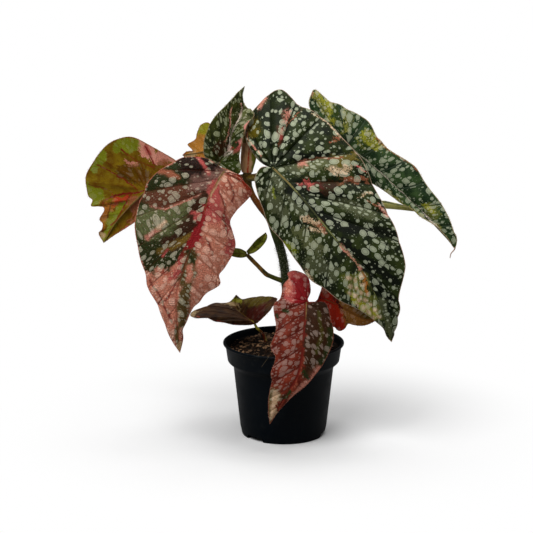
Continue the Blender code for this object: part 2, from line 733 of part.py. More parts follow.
def leaf_row(rib, margin, fan, veins, place):
    """The inner and outer end of a row of the blade. Rows up to the last fan vein all start at the hub."""
    fan_share, fan_veins = fan
    if place <= fan_veins:
        return rib(0.0), margin(fan_share * place / fan_veins)
    share = (place - fan_veins) / veins
    return rib(share), margin(fan_share + (1 - fan_share) * share**MARGIN_EASE)


def half_blade(leaf, side):
    """The rows of points of one half of a leaf's middle surface, arched and pleated between its veins."""
    rib = along(seen_all(leaf["rib"]))
    margin = along(seen_all(leaf[side]))
    fan = leaf[side + "_fan"]
    veins = leaf["rib_veins"]
    count = (fan[1] + veins) * ROWS_PER_VEIN
    ends = [leaf_row(rib, margin, fan, veins, row / ROWS_PER_VEIN) for row in range(count + 1)]
    flat = []
    for row in range(count + 1):
        before = ends[max(row - 1, 0)]
        after = ends[min(row + 1, count)]
        middle_before = before[0].lerp(before[1], ROW_MIDDLE)
        middle_after = after[0].lerp(after[1], ROW_MIDDLE)
        flat.append((ends[row][1] - ends[row][0]).cross(middle_after - middle_before))
    facing = 1 if sum(flat, Vector()).dot(Vector(leaf["upper"])) > 0 else -1
    rows = []
    for row, (start, end) in enumerate(ends):
        near = flat[max(row - NORMAL_SPREAD, 0) : row + NORMAL_SPREAD + 1]
        normal = sum(near, Vector()).normalized() * facing
        reach = min((end - start).length / FULL_RELIEF_REACH, 1.0)
        ridge = math.sin(math.pi * (row / ROWS_PER_VEIN % 1.0))
        line = []
        for step in range(STEPS_ACROSS + 1):
            w = step / STEPS_ACROSS
            lift = leaf["arch"] * math.sin(math.pi * w)
            lift += leaf["pleat"] * ridge * min(1, 3 * w) * (1 - 0.4 * w)
            line.append(start.lerp(end, w) + normal * (lift * reach * MM))
        rows.append(line)
    return rows


def spaced(points, spacing):
    """Points along a run of points, about this far apart, with its two ends."""
    lengths = [0.0]
    for a, b in zip(points, points[1:]):
        lengths.append(lengths[-1] + (b - a).length)
    count = max(2, round(lengths[-1] / spacing))
    found = [points[0]]
    index = 1
    for step in range(1, count):
        wanted = lengths[-1] * step / count
        while lengths[index] < wanted:
            index += 1
        share = (wanted - lengths[index - 1]) / (lengths[index] - lengths[index - 1])
        found.append(points[index - 1].lerp(points[index], share))
    return found + [points[-1]]


def margin_distance(point, points, outline):
    """How far a point is from the nearest edge of the outline."""
    nearest = math.inf
    for first, second in zip(outline, outline[1:] + outline[:1]):
        foot, share = intersect_point_line(point, points[first], points[second])
        foot = points[first].lerp(points[second], min(max(share, 0.0), 1.0))
        nearest = min(nearest, (point - foot).length)
    return nearest


def blade_net(leaf):
    """Even triangles over the middle surface: margin, rib and veins as edges, and spread points between."""
    spacing = leaf["facet"] * MM
    low = half_blade(leaf, "low")
    high = half_blade(leaf, "high")
    hub = low[0][0]
    low_edge = spaced([hub] + smooth_run(seen_all(leaf["low"])), spacing * MARGIN_SHARE)
    high_edge = spaced([hub] + smooth_run(seen_all(leaf["high"])), spacing * MARGIN_SHARE)
    points = low_edge + high_edge[-2:0:-1]
    outline = list(range(len(points)))
    creases = [[line[0] for line in low]]
    creases += low[ROWS_PER_VEIN:-1:ROWS_PER_VEIN] + high[ROWS_PER_VEIN:-1:ROWS_PER_VEIN]
    fills = []
    for side in (low, high):
        fills += side[ROWS_PER_VEIN // 2 : -1 : ROWS_PER_VEIN] + side[1:-1:2]
    veins = []
    for line in creases + fills:
        last = None
        for point in spaced(line, spacing)[1:-1]:
            room = min((point - other).length for other in points) > spacing * LEAST_SHARE
            if room and margin_distance(point, points, outline) > spacing * MARGIN_GAP_SHARE:
                points.append(point)
                if last is not None and line in creases:
                    veins.append((last, len(points) - 1))
                last = len(points) - 1
            else:
                last = None
    return points, outline, veins


def flattened(points):
    """The points seen square to the plane that fits them best."""
    centre = sum(points, Vector()) / len(points)
    spread = np.array([point - centre for point in points])
    across, along_axis, _ = np.linalg.svd(spread, full_matrices=False)[2]
    return [Vector((float(row @ across), float(row @ along_axis))) * 1000 for row in spread]


def make_blade(name, leaf, finish):
    """The blade as one thin solid: its middle surface in triangles, thickened alike on both sides."""
    points, outline, veins = blade_net(leaf)
    flat = flattened(points)
    pairs = zip(outline, outline[1:] + outline[:1])
    if sum(flat[a].cross(flat[b]) for a, b in pairs) < 0:
        outline.reverse()
    _, _, triangles, from_points, _, from_outline = delaunay_2d_cdt(
        flat, veins, [outline], 0, 1e-6, True
    )
    shape = bmesh.new()
    corners = [shape.verts.new(points[ids[0]]) for ids in from_points]
    for triangle, inside in zip(triangles, from_outline):
        if inside:
            shape.faces.new([corners[index] for index in triangle])
    bmesh.ops.triangulate(shape, faces=shape.faces)
    trim_ears(shape)
    shape.normal_update()
    total = sum((face.normal * face.calc_area() for face in shape.faces), Vector())
    if total.dot(Vector(leaf["upper"])) < 0:
        bmesh.ops.reverse_faces(shape, faces=shape.faces)
    thicken(shape, BLADE_THICKNESS)
    return add_object(name, mesh_from(shape, name), finish)


def trim_ears(shape):
    """Removes the margin's flattest triangles, which are too thin to be thickened."""
    found = True
    while found:
        found = []
        for face in shape.faces:
            inner = [edge for edge in face.edges if len(edge.link_faces) == 2]
            if len(inner) != 1:
                continue
            base = inner[0].verts
            peak = next(corner for corner in face.verts if corner not in base)
            foot, _ = intersect_point_line(peak.co, base[0].co, base[1].co)
            if (peak.co - foot).length < LEAST_EAR:
                found.append(face)
        bmesh.ops.delete(shape, geom=found, context="FACES")


def thicken(shape, thickness):
    """Makes an open sheet a closed solid whose two sides are split into the same triangles."""
    shape.normal_update()
    lifts = {}
    for corner in shape.verts:
        normal = sum((face.normal * face.calc_area() for face in corner.link_faces), Vector())
        lifts[corner] = normal.normalized() * (thickness / 2)
    faces = list(shape.faces)
    rim = [edge for edge in shape.edges if len(edge.link_faces) == 1]
    ends = []
    for edge in rim:
        loop = edge.link_loops[0]
        ends.append((loop.vert, loop.link_loop_next.vert))
    under = {corner: shape.verts.new(corner.co - lift) for corner, lift in lifts.items()}
    for corner, lift in lifts.items():
        corner.co += lift
    for face in faces:
        shape.faces.new([under[corner] for corner in reversed(face.verts)])
    for start, end in ends:
        shape.faces.new((end, start, under[start]))
        shape.faces.new((end, under[start], under[end]))


def make_leaf(name, leaf, finish, stem_finish, keep_clear):
    """A blade fused to its stalk, which stops just short of what it grows from."""
    blade = make_blade(name, leaf, finish)
    widths = [PETIOLE_DIAMETER * width for width in leaf["stalk_widths"]]
    stalk = tube(name + "_stalk", seen_all(leaf["stalk"]), widths, stem_finish)
    if keep_clear:
        cut(stalk, [keep_clear])
    added = [stalk]
    if "tail" in leaf:
        added.append(tube(name + "_tail", seen_all(leaf["tail"]), TAIL_WIDTHS, finish))
    fuse(blade, added)
    return blade


def main():
    clear_scene()
    black = material("black_plastic", POT_BLACK, 0.42)
    compost = material("compost", COMPOST_BROWN, 0.95)
    green = material("spotted_green_leaf", LEAF_GREEN, 0.5)
    pink = material("pink_leaf", LEAF_PINK, 0.5)
    olive = material("leaf_underside", LEAF_OLIVE, 0.55)
    stem_skin = material("stem_skin", STEM_GREEN, 0.55)
    sheath_skin = material("dry_sheath", SHEATH_TAN, 0.6)
    shoot_skin = material("young_shoot", SHOOT_GREEN, 0.5)
    make_pot(black)
    soil = make_soil(compost)
    make_stem("main_stem", stem_skin)
    leaves = {
        "front_leaf": (FRONT_LEAF, green),
        "left_leaf": (LEFT_LEAF, pink),
        "rear_left_leaf": (REAR_LEFT_LEAF, olive),
        "upright_leaf": (UPRIGHT_LEAF, green),
        "small_rear_leaf": (SMALL_REAR_LEAF, olive),
        "rear_right_leaf": (REAR_RIGHT_LEAF, green),
        "lower_left_leaf": (LOWER_LEFT_LEAF, olive),
        "rim_leaf": (RIM_LEAF, pink),
        "lower_right_leaf": (LOWER_RIGHT_LEAF, pink),
    }
    for name, (leaf, finish) in leaves.items():
        in_soil = name == "lower_left_leaf"
        clear = None if in_soil else make_stem("stem_room", stem_skin, CLEARANCE)
        make_leaf(name, leaf, finish, stem_skin, clear)
    make_stipule_sheath(sheath_skin)
    side_shoot = make_shoot("side_shoot", SIDE_SHOOT, stem_skin)
    cut(side_shoot, [make_stem("stem_room", stem_skin, CLEARANCE)])
    right_shoot = make_shoot("right_shoot", RIGHT_SHOOT, shoot_skin)
    cut(right_shoot, [make_stem("stem_room", stem_skin, CLEARANCE)])
    for name, leaf in (("side_right_leaf", SIDE_RIGHT_LEAF), ("side_left_leaf", SIDE_LEFT_LEAF)):
        leaflet = make_blade(name, leaf, olive)
        cut(leaflet, [make_shoot("shoot_room", SIDE_SHOOT, stem_skin, CLEARANCE)])
    widths = [PETIOLE_DIAMETER * width + 2 * CLEARANCE for width in LOWER_LEFT_LEAF["stalk_widths"]]
    points = seen_all(LOWER_LEFT_LEAF["stalk"])
    points[0].z -= CLEARANCE
    holes = [make_stem("stem_hole", stem_skin, CLEARANCE), tube("stalk_hole", points, widths, stem_skin)]
    cut(soil, holes)


main()
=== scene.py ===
import math
import random

import bpy
import numpy as np
from mathutils import Euler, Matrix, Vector, noise


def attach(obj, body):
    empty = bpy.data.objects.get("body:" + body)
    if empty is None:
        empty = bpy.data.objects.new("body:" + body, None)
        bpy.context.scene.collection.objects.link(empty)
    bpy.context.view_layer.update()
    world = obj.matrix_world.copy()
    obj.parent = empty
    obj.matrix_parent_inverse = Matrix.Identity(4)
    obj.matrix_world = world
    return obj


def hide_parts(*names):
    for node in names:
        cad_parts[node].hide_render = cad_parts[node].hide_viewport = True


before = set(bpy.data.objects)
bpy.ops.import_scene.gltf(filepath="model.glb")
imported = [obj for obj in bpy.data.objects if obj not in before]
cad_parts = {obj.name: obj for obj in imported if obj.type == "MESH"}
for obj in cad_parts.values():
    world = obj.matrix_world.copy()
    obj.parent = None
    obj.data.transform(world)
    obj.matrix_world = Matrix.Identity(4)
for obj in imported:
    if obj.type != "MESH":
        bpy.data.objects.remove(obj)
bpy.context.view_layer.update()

bpy.ops.object.select_all(action="DESELECT")
bpy.context.scene.view_settings.view_transform = "Standard"


# Pot
# A 12 cm round nursery pot, injection moulded in one piece from thin black plastic, with a beaded lip,
# a stacking band, a tapered body and a foot ring with three openings.

MM = 0.001
TO_MM = 1000
POT_SIDES = 120
POT_PROFILE = [
    (0, 0), (8, 0), (8.5, 0.6), (8.6, 4.5), (37.4, 4.5), (37.9, 0.5), (38.3, 0), (40.6, 0), (41.2, 0.3),
    (41.5, 0.9), (42.2, 4.6), (42.6, 6.4), (43, 8), (46.3, 38), (49.6, 68.4), (49.9, 69.4), (51, 71.2),
    (53.2, 73.2), (54.9, 74.8), (55.4, 75.6), (55.6, 76.6), (57.5, 90.2), (57.9, 91), (59.2, 91.5),
    (59.8, 92), (60, 92.7), (59.8, 93.4), (59.3, 93.8), (58.6, 94), (57.8, 93.9), (57.4, 93.4),
    (56.1, 90.5), (54, 76.6), (48.1, 69.6), (41.2, 8.2), (39.3, 6.1), (0, 6.1),
]
FOOT_GAP_ANGLES = (-44, 76, 196)
FOOT_GAP_SIZE = (0.0205, 0.012, 0.0062)
FOOT_GAP_REACH, FOOT_GAP_HEIGHT = 0.0405, 0.0011
DRAIN_ANGLES = (0, 60, 120, 180, 240, 300)
DRAIN_RADIUS, DRAIN_DEPTH = 0.004, 0.008
DRAIN_REACH, DRAIN_HEIGHT = 0.025, 0.0045


def colour_of(red, green, blue):
    """A colour as it is seen, 0 to 255, in the shader's own scale."""
    levels = [value / 255 for value in (red, green, blue)]
    levels = [v / 12.92 if v <= 0.04045 else ((v + 0.055) / 1.055) ** 2.4 for v in levels]
    return (*levels, 1.0)


def feed(tree, node, feeds):
    """Gives a shader node's inputs their links or their values."""
    for socket, value in feeds.items():
        if isinstance(value, bpy.types.NodeSocket):
            tree.links.new(value, node.inputs[socket])
        else:
            node.inputs[socket].default_value = value
    return node


def put(tree, kind, feeds=None, **settings):
    """Adds a shader node, with its settings and what feeds each of its inputs."""
    node = tree.nodes.new("ShaderNode" + kind)
    for name, value in settings.items():
        setattr(node, name, value)
    return feed(tree, node, feeds or {})


def reckon(tree, operation, *values):
    feeds = dict(enumerate(values))
    return put(tree, "Math", feeds, operation=operation).outputs[0]


def blend(tree, share, first, second, mode="MIX"):
    """Two colours mixed by a share."""
    node = put(tree, "Mix", {0: share, 6: first, 7: second}, data_type="RGBA", blend_type=mode)
    return node.outputs[2]


def rise(tree, value, low, high, top=1.0, bottom=0.0):
    """A soft step from bottom to top while the value goes from low to high."""
    feeds = {"Value": value, "From Min": low, "From Max": high, "To Min": bottom, "To Max": top}
    return put(tree, "MapRange", feeds, interpolation_type="SMOOTHSTEP").outputs[0]


def grain(tree, place, size, detail=3.0, roughness=0.55, output=0):
    """Soft noise whose lumps are about this many metres across."""
    feeds = {"Vector": place, "Scale": 1 / size, "Detail": detail, "Roughness": roughness}
    return put(tree, "TexNoise", feeds).outputs[output]


def read(tree, name, output="Fac"):
    """A value or colour that the piece carries at each of its corners."""
    return put(tree, "Attribute", {}, attribute_name=name).outputs[output]


def new_finish(name):
    """An empty material, its shader, and the place on the piece that its patterns read."""
    finish = bpy.data.materials.new(name)
    finish.use_nodes = True
    tree = finish.node_tree
    return finish, tree, tree.nodes["Principled BSDF"], put(tree, "TexCoord").outputs["Object"]


def bump(tree, shader, height, depth, strength=1.0):
    feeds = {"Height": height, "Distance": depth, "Strength": strength}
    tree.links.new(put(tree, "Bump", feeds).outputs[0], shader.inputs["Normal"])


def hand_over(piece, name, *stands_for, slot):
    """Names a finished piece, hangs it under the root body and hides the model parts it stands for."""
    piece.name = name
    piece.data.name = name
    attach(piece, "root")
    if stands_for:
        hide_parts(*stands_for)
    bpy.ops.object.select_all(action="DESELECT")


def set_down(name, data):
    """Puts a mesh, a curve, a lamp or a camera into the scene."""
    piece = bpy.data.objects.new(name, data)
    bpy.context.collection.objects.link(piece)
    return piece


def select_only(*pieces):
    bpy.ops.object.select_all(action="DESELECT")
    for piece in pieces:
        piece.select_set(True)
    bpy.context.view_layer.objects.active = pieces[0]


def black_plastic():
    finish, tree, shader, place = new_finish("black_plastic")
    cloud = grain(tree, place, 0.020, 4)
    fine = grain(tree, place, 0.0011, 2)
    dust = rise(tree, grain(tree, place, 0.007, 6, 0.7), 0.50, 0.78)
    up = put(tree, "SeparateXYZ", {0: place}).outputs[2]
    high = rise(tree, up, 0.070, 0.094, 0.55, 0.10)
    body = blend(tree, cloud, colour_of(0, 4, 9), colour_of(4, 11, 18))
    shown = blend(tree, reckon(tree, "MULTIPLY", dust, high), body, colour_of(56, 58, 54))
    matt = reckon(tree, "ADD", rise(tree, cloud, 0.3, 0.7, 0.46, 0.34), reckon(tree, "MULTIPLY", dust, 0.2))
    feed(tree, shader, {"Base Color": shown, "Roughness": matt, "Specular IOR Level": 0.1})
    bump(tree, shader, reckon(tree, "ADD", fine, reckon(tree, "MULTIPLY", cloud, 3.0)), 0.00004, 0.6)
    return finish


def turn_profile(profile, sides):
    """A solid turned on the pot's axis from its profile in millimetres."""
    bpy.ops.mesh.primitive_circle_add(vertices=len(profile), radius=0.05)
    piece = bpy.context.active_object
    for corner, (radius, height) in zip(piece.data.vertices, profile):
        corner.co = (radius * MM, 0, height * MM)
    bpy.ops.object.mode_set(mode="EDIT")
    bpy.ops.mesh.select_all(action="SELECT")
    bpy.ops.mesh.spin(steps=sides, angle=2 * math.pi, center=(0, 0, 0), axis=(0, 0, 1))
    bpy.ops.mesh.select_all(action="SELECT")
    bpy.ops.mesh.remove_doubles(threshold=0.00001)
    bpy.ops.mesh.dissolve_degenerate(threshold=0.000001)
    bpy.ops.mesh.select_all(action="SELECT")
    bpy.ops.mesh.normals_make_consistent(inside=False)
    bpy.ops.object.mode_set(mode="OBJECT")
    return piece


def cut_away(piece, cutter):
    select_only(piece)
    step = piece.modifiers.new("cut", "BOOLEAN")
    step.object = cutter
    step.solver = "EXACT"
    bpy.ops.object.modifier_apply(modifier="cut")
    bpy.data.objects.remove(cutter)


pot = turn_profile(POT_PROFILE, POT_SIDES)
for angle in FOOT_GAP_ANGLES:
    turn = math.radians(angle)
    spot = (FOOT_GAP_REACH * math.sin(turn), -FOOT_GAP_REACH * math.cos(turn), FOOT_GAP_HEIGHT)
    bpy.ops.mesh.primitive_cube_add(size=1, location=spot, rotation=(0, 0, turn), scale=FOOT_GAP_SIZE)
    cut_away(pot, bpy.context.active_object)
for angle in DRAIN_ANGLES:
    turn = math.radians(angle)
    spot = (DRAIN_REACH * math.cos(turn), DRAIN_REACH * math.sin(turn), DRAIN_HEIGHT)
    bpy.ops.mesh.primitive_cylinder_add(vertices=24, radius=DRAIN_RADIUS, depth=DRAIN_DEPTH, location=spot)
    cut_away(pot, bpy.context.active_object)
select_only(pot)
bpy.ops.object.shade_smooth_by_angle(angle=math.radians(32))
pot.data.materials.append(black_plastic())
hand_over(pot, "nursery_pot", "pot", slot="black_plastic")


# Soil
# Dark peat compost with composted bark and coir in it, filled to just under the lip and mounded round the
# stem. The bark chips, the crumbs and the coir threads lie loose on top.

SOIL_EDGE_RADIUS = 55.4
SOIL_EDGE_HEIGHT = 87.5
SOIL_MOUND = 3.5
SOIL_DEPTH = 30.0
SOIL_FOOT_SHARE = 0.77
BITS_REACH = 0.96
BITS_TILT = 0.35
KNOB_SIZES = (0.7, 1.2)
CHIP_COUNT = 330
CRUMB_COUNT = 700
COIR_COUNT = 90
COIR_START_REACH, COIR_END_REACH = 0.9, 0.97
COIR_STEPS, COIR_STEP = 7, 0.0011
COIR_THICKNESS = 0.00012


def soil_height(x, y):
    """The height of the soil's top over a place, in metres."""
    out = min(math.hypot(x, y) / (SOIL_EDGE_RADIUS * MM), 1.0)
    spot = Vector((x, y, SOIL_EDGE_HEIGHT * MM))
    rough = noise.noise(spot * 180) + 0.5 * noise.noise(spot * 420)
    fine = 0.35 * noise.noise(spot * 900) + 0.2 * noise.noise(spot * 2000)
    fade = 1 - out**6
    return (SOIL_EDGE_HEIGHT + SOIL_MOUND * (1 - out**2)) * MM + (0.0013 * rough + 0.0012 * fine) * fade


def compost():
    finish, tree, shader, place = new_finish("peat_compost")
    lumps = grain(tree, place, 0.004, 6, 0.7)
    crumbs = put(tree, "TexVoronoi", {"Vector": place, "Scale": 900.0}).outputs
    ground = blend(tree, rise(tree, lumps, 0.3, 0.75), colour_of(4, 2, 1), colour_of(20, 11, 5))
    pick = put(tree, "SeparateColor", {0: crumbs["Color"]}).outputs[0]
    shown = blend(tree, rise(tree, pick, 0.80, 0.92, 0.7), ground, colour_of(56, 36, 20))
    feed(tree, shader, {"Base Color": shown, "Roughness": 0.95, "Specular IOR Level": 0.1})
    height = reckon(tree, "ADD", lumps, reckon(tree, "MULTIPLY", crumbs["Distance"], -0.6))
    bump(tree, shader, height, 0.0012)
    return finish


def soil_bits(name, low, high):
    """A finish for loose bits of the mix, each of its own shade between two colours."""
    finish, tree, shader, place = new_finish(name)
    own = read(tree, "bit")
    streaks = put(tree, "Mapping", {"Vector": place, "Scale": (1, 1, 4)}).outputs[0]
    fibre = grain(tree, streaks, 0.0009, 4, 0.65)
    share = reckon(tree, "ADD", reckon(tree, "MULTIPLY", own, 0.7), reckon(tree, "MULTIPLY", fibre, 0.5))
    shown = blend(tree, rise(tree, share, 0.2, 1.0), colour_of(*low), colour_of(*high))
    feed(tree, shader, {"Base Color": shown, "Roughness": 0.85, "Specular IOR Level": 0.15})
    bump(tree, shader, fibre, 0.0005)
    return finish


bpy.ops.mesh.primitive_grid_add(x_subdivisions=110, y_subdivisions=110, size=2)
soil = bpy.context.active_object
for corner in soil.data.vertices:
    x, y = corner.co.x, corner.co.y
    round_x = x * math.sqrt(1 - y * y / 2) * SOIL_EDGE_RADIUS * MM
    round_y = y * math.sqrt(1 - x * x / 2) * SOIL_EDGE_RADIUS * MM
    corner.co = (round_x, round_y, soil_height(round_x, round_y))
bpy.ops.object.mode_set(mode="EDIT")
bpy.ops.mesh.select_all(action="SELECT")
bpy.ops.mesh.select_non_manifold()
bpy.ops.mesh.extrude_region_move(TRANSFORM_OT_translate={"value": (0, 0, -SOIL_DEPTH * MM)})
bpy.ops.transform.resize(value=(SOIL_FOOT_SHARE, SOIL_FOOT_SHARE, 1), center_override=(0, 0, 0))
bpy.ops.mesh.edge_face_add()
bpy.ops.mesh.select_all(action="SELECT")
bpy.ops.mesh.normals_make_consistent(inside=False)
bpy.ops.object.mode_set(mode="OBJECT")
bpy.ops.object.shade_smooth_by_angle(angle=math.radians(50))
soil.data.materials.append(compost())
hand_over(soil, "peat_soil", "soil", slot="compost")


def scatter(name, count, finish, form, seed, reach, sink):
    """Copies of one small angular bit, each of its own size, turn and shade, laid on the soil."""
    bpy.ops.mesh.primitive_ico_sphere_add(subdivisions=1, radius=1)
    model = bpy.context.active_object
    knobs = np.array([corner.co[:] for corner in model.data.vertices])
    faces = [tuple(face.vertices) for face in model.data.polygons]
    bpy.data.objects.remove(model)
    chance = random.Random(seed)
    corners, polygons, shades = [], [], []
    while len(shades) < count * len(knobs):
        out = SOIL_EDGE_RADIUS * MM * BITS_REACH * math.sqrt(chance.random())
        around = chance.uniform(0, 2 * math.pi)
        x, y = out * math.cos(around), out * math.sin(around)
        if chance.random() > reach(x, y):
            continue
        size = form(chance)
        turn = Vector((chance.gauss(0, BITS_TILT), chance.gauss(0, BITS_TILT), chance.uniform(0, 6.283)))
        turned = Euler(turn).to_matrix()
        start = len(corners)
        shade = chance.random()
        lift = soil_height(x, y) + size[2] * sink
        for knob in knobs:
            point = Vector(knob * np.array([chance.uniform(*KNOB_SIZES) for _ in range(3)]))
            point = turned @ Vector((point.x * size[0], point.y * size[1], point.z * size[2]))
            corners.append((point.x + x, point.y + y, point.z + lift))
            shades.append(shade)
        polygons += [tuple(start + index for index in face) for face in faces]
    mesh = bpy.data.meshes.new(name)
    mesh.from_pydata(corners, [], polygons)
    mesh.attributes.new("bit", "FLOAT", "POINT").data.foreach_set("value", shades)
    mesh.materials.append(finish)
    return set_down(name, mesh)


bark = soil_bits("bark_chip", (10, 5, 2), (136, 104, 76))
crumb = soil_bits("peat_crumb", (4, 2, 1), (44, 27, 16))


def chip_form(chance):
    long = chance.uniform(0.9, 3.2) * MM
    return long, long * chance.uniform(0.4, 0.9), long * chance.uniform(0.2, 0.45)


def crumb_form(chance):
    size = chance.uniform(0.3, 1.1) * MM
    return size, size * chance.uniform(0.6, 1.0), size * chance.uniform(0.5, 0.9)


def more_at_back(x, y):
    """Bark lies thicker towards the back left of the pot than in front."""
    return 0.30 + 0.70 * min(max((y - 0.9 * x) / 0.05 + 0.55, 0), 1)


chips = scatter("bark_chips", CHIP_COUNT, bark, chip_form, seed=7, reach=more_at_back, sink=0.35)
hand_over(chips, "bark_chips", slot="compost")
crumbs = scatter("peat_crumbs", CRUMB_COUNT, crumb, crumb_form, seed=11, reach=lambda x, y: 1.0, sink=0.3)
hand_over(crumbs, "peat_crumbs", slot="compost")


def made_solid(piece, finish):
    """Turns a curve that has a thickness into a mesh with this finish."""
    select_only(piece)
    bpy.ops.object.convert(target="MESH")
    piece = bpy.context.active_object
    piece.data.materials.clear()
    piece.data.materials.append(finish)
    return piece


def threads(name, runs, thick, finish):
    """Fine fibres, each along its own run of places."""
    curve = bpy.data.curves.new(name, "CURVE")
    curve.dimensions = "3D"
    curve.bevel_depth = thick
    curve.bevel_resolution = 1
    for run in runs:
        line = curve.splines.new("POLY")
        line.points.add(len(run) - 1)
        for spot, place in zip(line.points, run):
            spot.co = (*place, 1)
    return made_solid(set_down(name, curve), finish)


coir_chance = random.Random(19)
coir_runs = []
while len(coir_runs) < COIR_COUNT:
    out = SOIL_EDGE_RADIUS * MM * COIR_START_REACH * math.sqrt(coir_chance.random())
    around = coir_chance.uniform(0, 2 * math.pi)
    x, y = out * math.cos(around), out * math.sin(around)
    heading, curl = coir_chance.uniform(0, 2 * math.pi), coir_chance.gauss(0, 0.35)
    run = []
    for step in range(COIR_STEPS):
        if math.hypot(x, y) < SOIL_EDGE_RADIUS * MM * COIR_END_REACH:
            run.append((x, y, soil_height(x, y) + coir_chance.uniform(0.0001, 0.0011)))
        x, y = x + COIR_STEP * math.cos(heading), y + COIR_STEP * math.sin(heading)
        heading += curl
    if len(run) > 3:
        coir_runs.append(run)
coir = soil_bits("coir_fibre", (84, 52, 30), (170, 128, 88))
hand_over(threads("coir_threads", coir_runs, COIR_THICKNESS, coir), "coir_threads", slot="compost")


# Main stem
# The one woody green cane that the leaves grow from, about 9 mm thick above the soil and thinner and browner
# higher up. It stands in a hole in the soil and is covered with short pale hairs.

# The eye of the front view, how far it looks down, and the view's scale and middle in pixels. Outlines and
# strokes are places in this view.
EYE = np.array([-0.0169, -1.9262, 0.6324])
LOOK_DOWN = math.radians(13.5)
VIEW_SCALE = 2017.0
VIEW_CENTRE = 266.5
STEM_DIAMETER = 8.6
STEM_ROOT = 63.5
STEM_PATH = [
    (285, 365, 3), (285.5, 340, 2), (286.5, 318, 1), (286.5, 298, 0), (285.3, 276, 0), (283.3, 261, 0),
    (279.9, 247, 0), (274.8, 232, 0), (269.5, 218, 0), (260.5, 207, 0), (253.4, 197, 0), (249.2, 187, 0),
    (247.4, 180, 0), (247.2, 172.8, 0),
]
STEM_WIDTHS = [0.96, 1, 1, 1, 1, 1, 1, 0.99, 0.94, 0.78, 0.70, 0.72, 1.05, 1]


def in_space(points):
    """Where points of the front view (across, down, millimetres behind the pot's axis) lie, in metres."""
    across, down, depth = np.array(points, float).T
    slope = (VIEW_CENTRE - down) / VIEW_SCALE
    run = depth * MM - EYE[1]
    level, dip = math.cos(LOOK_DOWN), math.sin(LOOK_DOWN)
    up = run * (level * slope - dip) / (level + dip * slope)
    distance = level * run - dip * up
    return EYE + np.stack([(across - VIEW_CENTRE) / VIEW_SCALE * distance, run, up], axis=1)


def in_view(places):
    """Where the front view shows these places: across and down."""
    out = places - EYE
    level, dip = math.cos(LOOK_DOWN), math.sin(LOOK_DOWN)
    distance = level * out[..., 1] - dip * out[..., 2]
    across = VIEW_CENTRE + VIEW_SCALE * out[..., 0] / distance
    down = VIEW_CENTRE - VIEW_SCALE * (dip * out[..., 1] + level * out[..., 2]) / distance
    return np.stack([across, down], axis=-1)


def smooth_line(points, steps=10):
    """A dense run of points on the smooth curve through these ones."""
    points = np.array(points, float)
    guide = np.vstack([2 * points[0] - points[1], points, 2 * points[-1] - points[-2]])
    run = []
    for a, b, c, d in zip(guide, guide[1:], guide[2:], guide[3:]):
        for t in np.arange(steps) / steps:
            bend = (2 * a - 5 * b + 4 * c - d) * t**2 + (3 * b - a - 3 * c + d) * t**3
            run.append((2 * b + (c - a) * t + bend) / 2)
    return np.array(run + [points[-1]])


def line_length(line):
    return np.concatenate([[0], np.cumsum(np.linalg.norm(np.diff(line, axis=0), axis=1))])


def spread_along(line, shares):
    """The points at these shares of a line's length."""
    lengths = line_length(line)
    wanted = np.array(shares) * lengths[-1]
    return np.stack([np.interp(wanted, lengths, line[:, axis]) for axis in range(3)], axis=1)


def round_stalk(name, places, widths, finish, sides=20, steps=8, flat=(1, 1, 1)):
    """A round stalk along the smooth curve through these places, its width changing evenly between them."""
    run = smooth_line(places, steps)
    curve = bpy.data.curves.new(name, "CURVE")
    curve.dimensions = "3D"
    curve.bevel_depth = 1.0
    curve.bevel_resolution = sides // 2 - 2
    curve.use_fill_caps = True
    line = curve.splines.new("POLY")
    line.points.add(len(run) - 1)
    rung = np.arange(len(run)) / steps
    radii = np.interp(rung, np.arange(len(widths)), widths) * MM / 2
    for spot, place, radius in zip(line.points, run, radii):
        spot.co = (*place, 1)
        spot.radius = radius
    stalk = made_solid(set_down(name, curve), finish)
    bpy.ops.object.mode_set(mode="EDIT")
    bpy.ops.mesh.select_all(action="SELECT")
    bpy.ops.mesh.remove_doubles(threshold=0.000001)
    bpy.ops.mesh.normals_make_consistent(inside=False)
    bpy.ops.object.mode_set(mode="OBJECT")
    for corner in stalk.data.vertices:
        corner.co = [place * share for place, share in zip(corner.co, flat)]
    bpy.ops.object.shade_smooth_by_angle(angle=math.radians(50))
    return stalk


# How far the edge of an area of colour wanders, in the front view's pixels, and the noise that pushes it: how
# fine its two waves are, how strong they are together, and where in the noise the two ways are read.
AREA_SWING = 3.2
BROAD_WAVE, FINE_WAVE, WAVE_PUSH = 130, 420, 1.4
NEAR, FAR = Vector((3.1, 7.7, 1.3)), Vector((51.7, 23.9, 38.1))


def reach_of(view, shape, width):
    """How far inside a brush stroke or an area each place of the front view lies. Outside it is below 0."""
    shape = np.array(shape, float)
    ends = np.roll(shape, -1, axis=0) if width is None else shape[1:]
    nearest = np.full(len(view), np.inf)
    inside = np.zeros(len(view), bool)
    for start, end in zip(shape, ends):
        side = end - start
        share = np.clip((view - start) @ side / max(side @ side, 1e-9), 0, 1)
        nearest = np.minimum(nearest, np.linalg.norm(view - start - share[:, None] * side, axis=1))
        if width is None and side[1] != 0:
            crossing = start[0] + (view[:, 1] - start[1]) / side[1] * side[0]
            between = (view[:, 1] >= min(start[1], end[1])) & (view[:, 1] < max(start[1], end[1]))
            inside ^= between & (view[:, 0] < crossing)
    return np.where(inside, nearest, -nearest) if width is None else width - nearest


def ragged(places):
    """A sideways push for each place, so that a patch of colour has an uneven edge."""
    pushes = []
    for place in places:
        broad, fine = Vector(place) * BROAD_WAVE, Vector(place) * FINE_WAVE
        pushes.append([noise.noise(broad + way) + 0.5 * noise.noise(fine + way) for way in (NEAR, FAR)])
    return np.array(pushes) * WAVE_PUSH


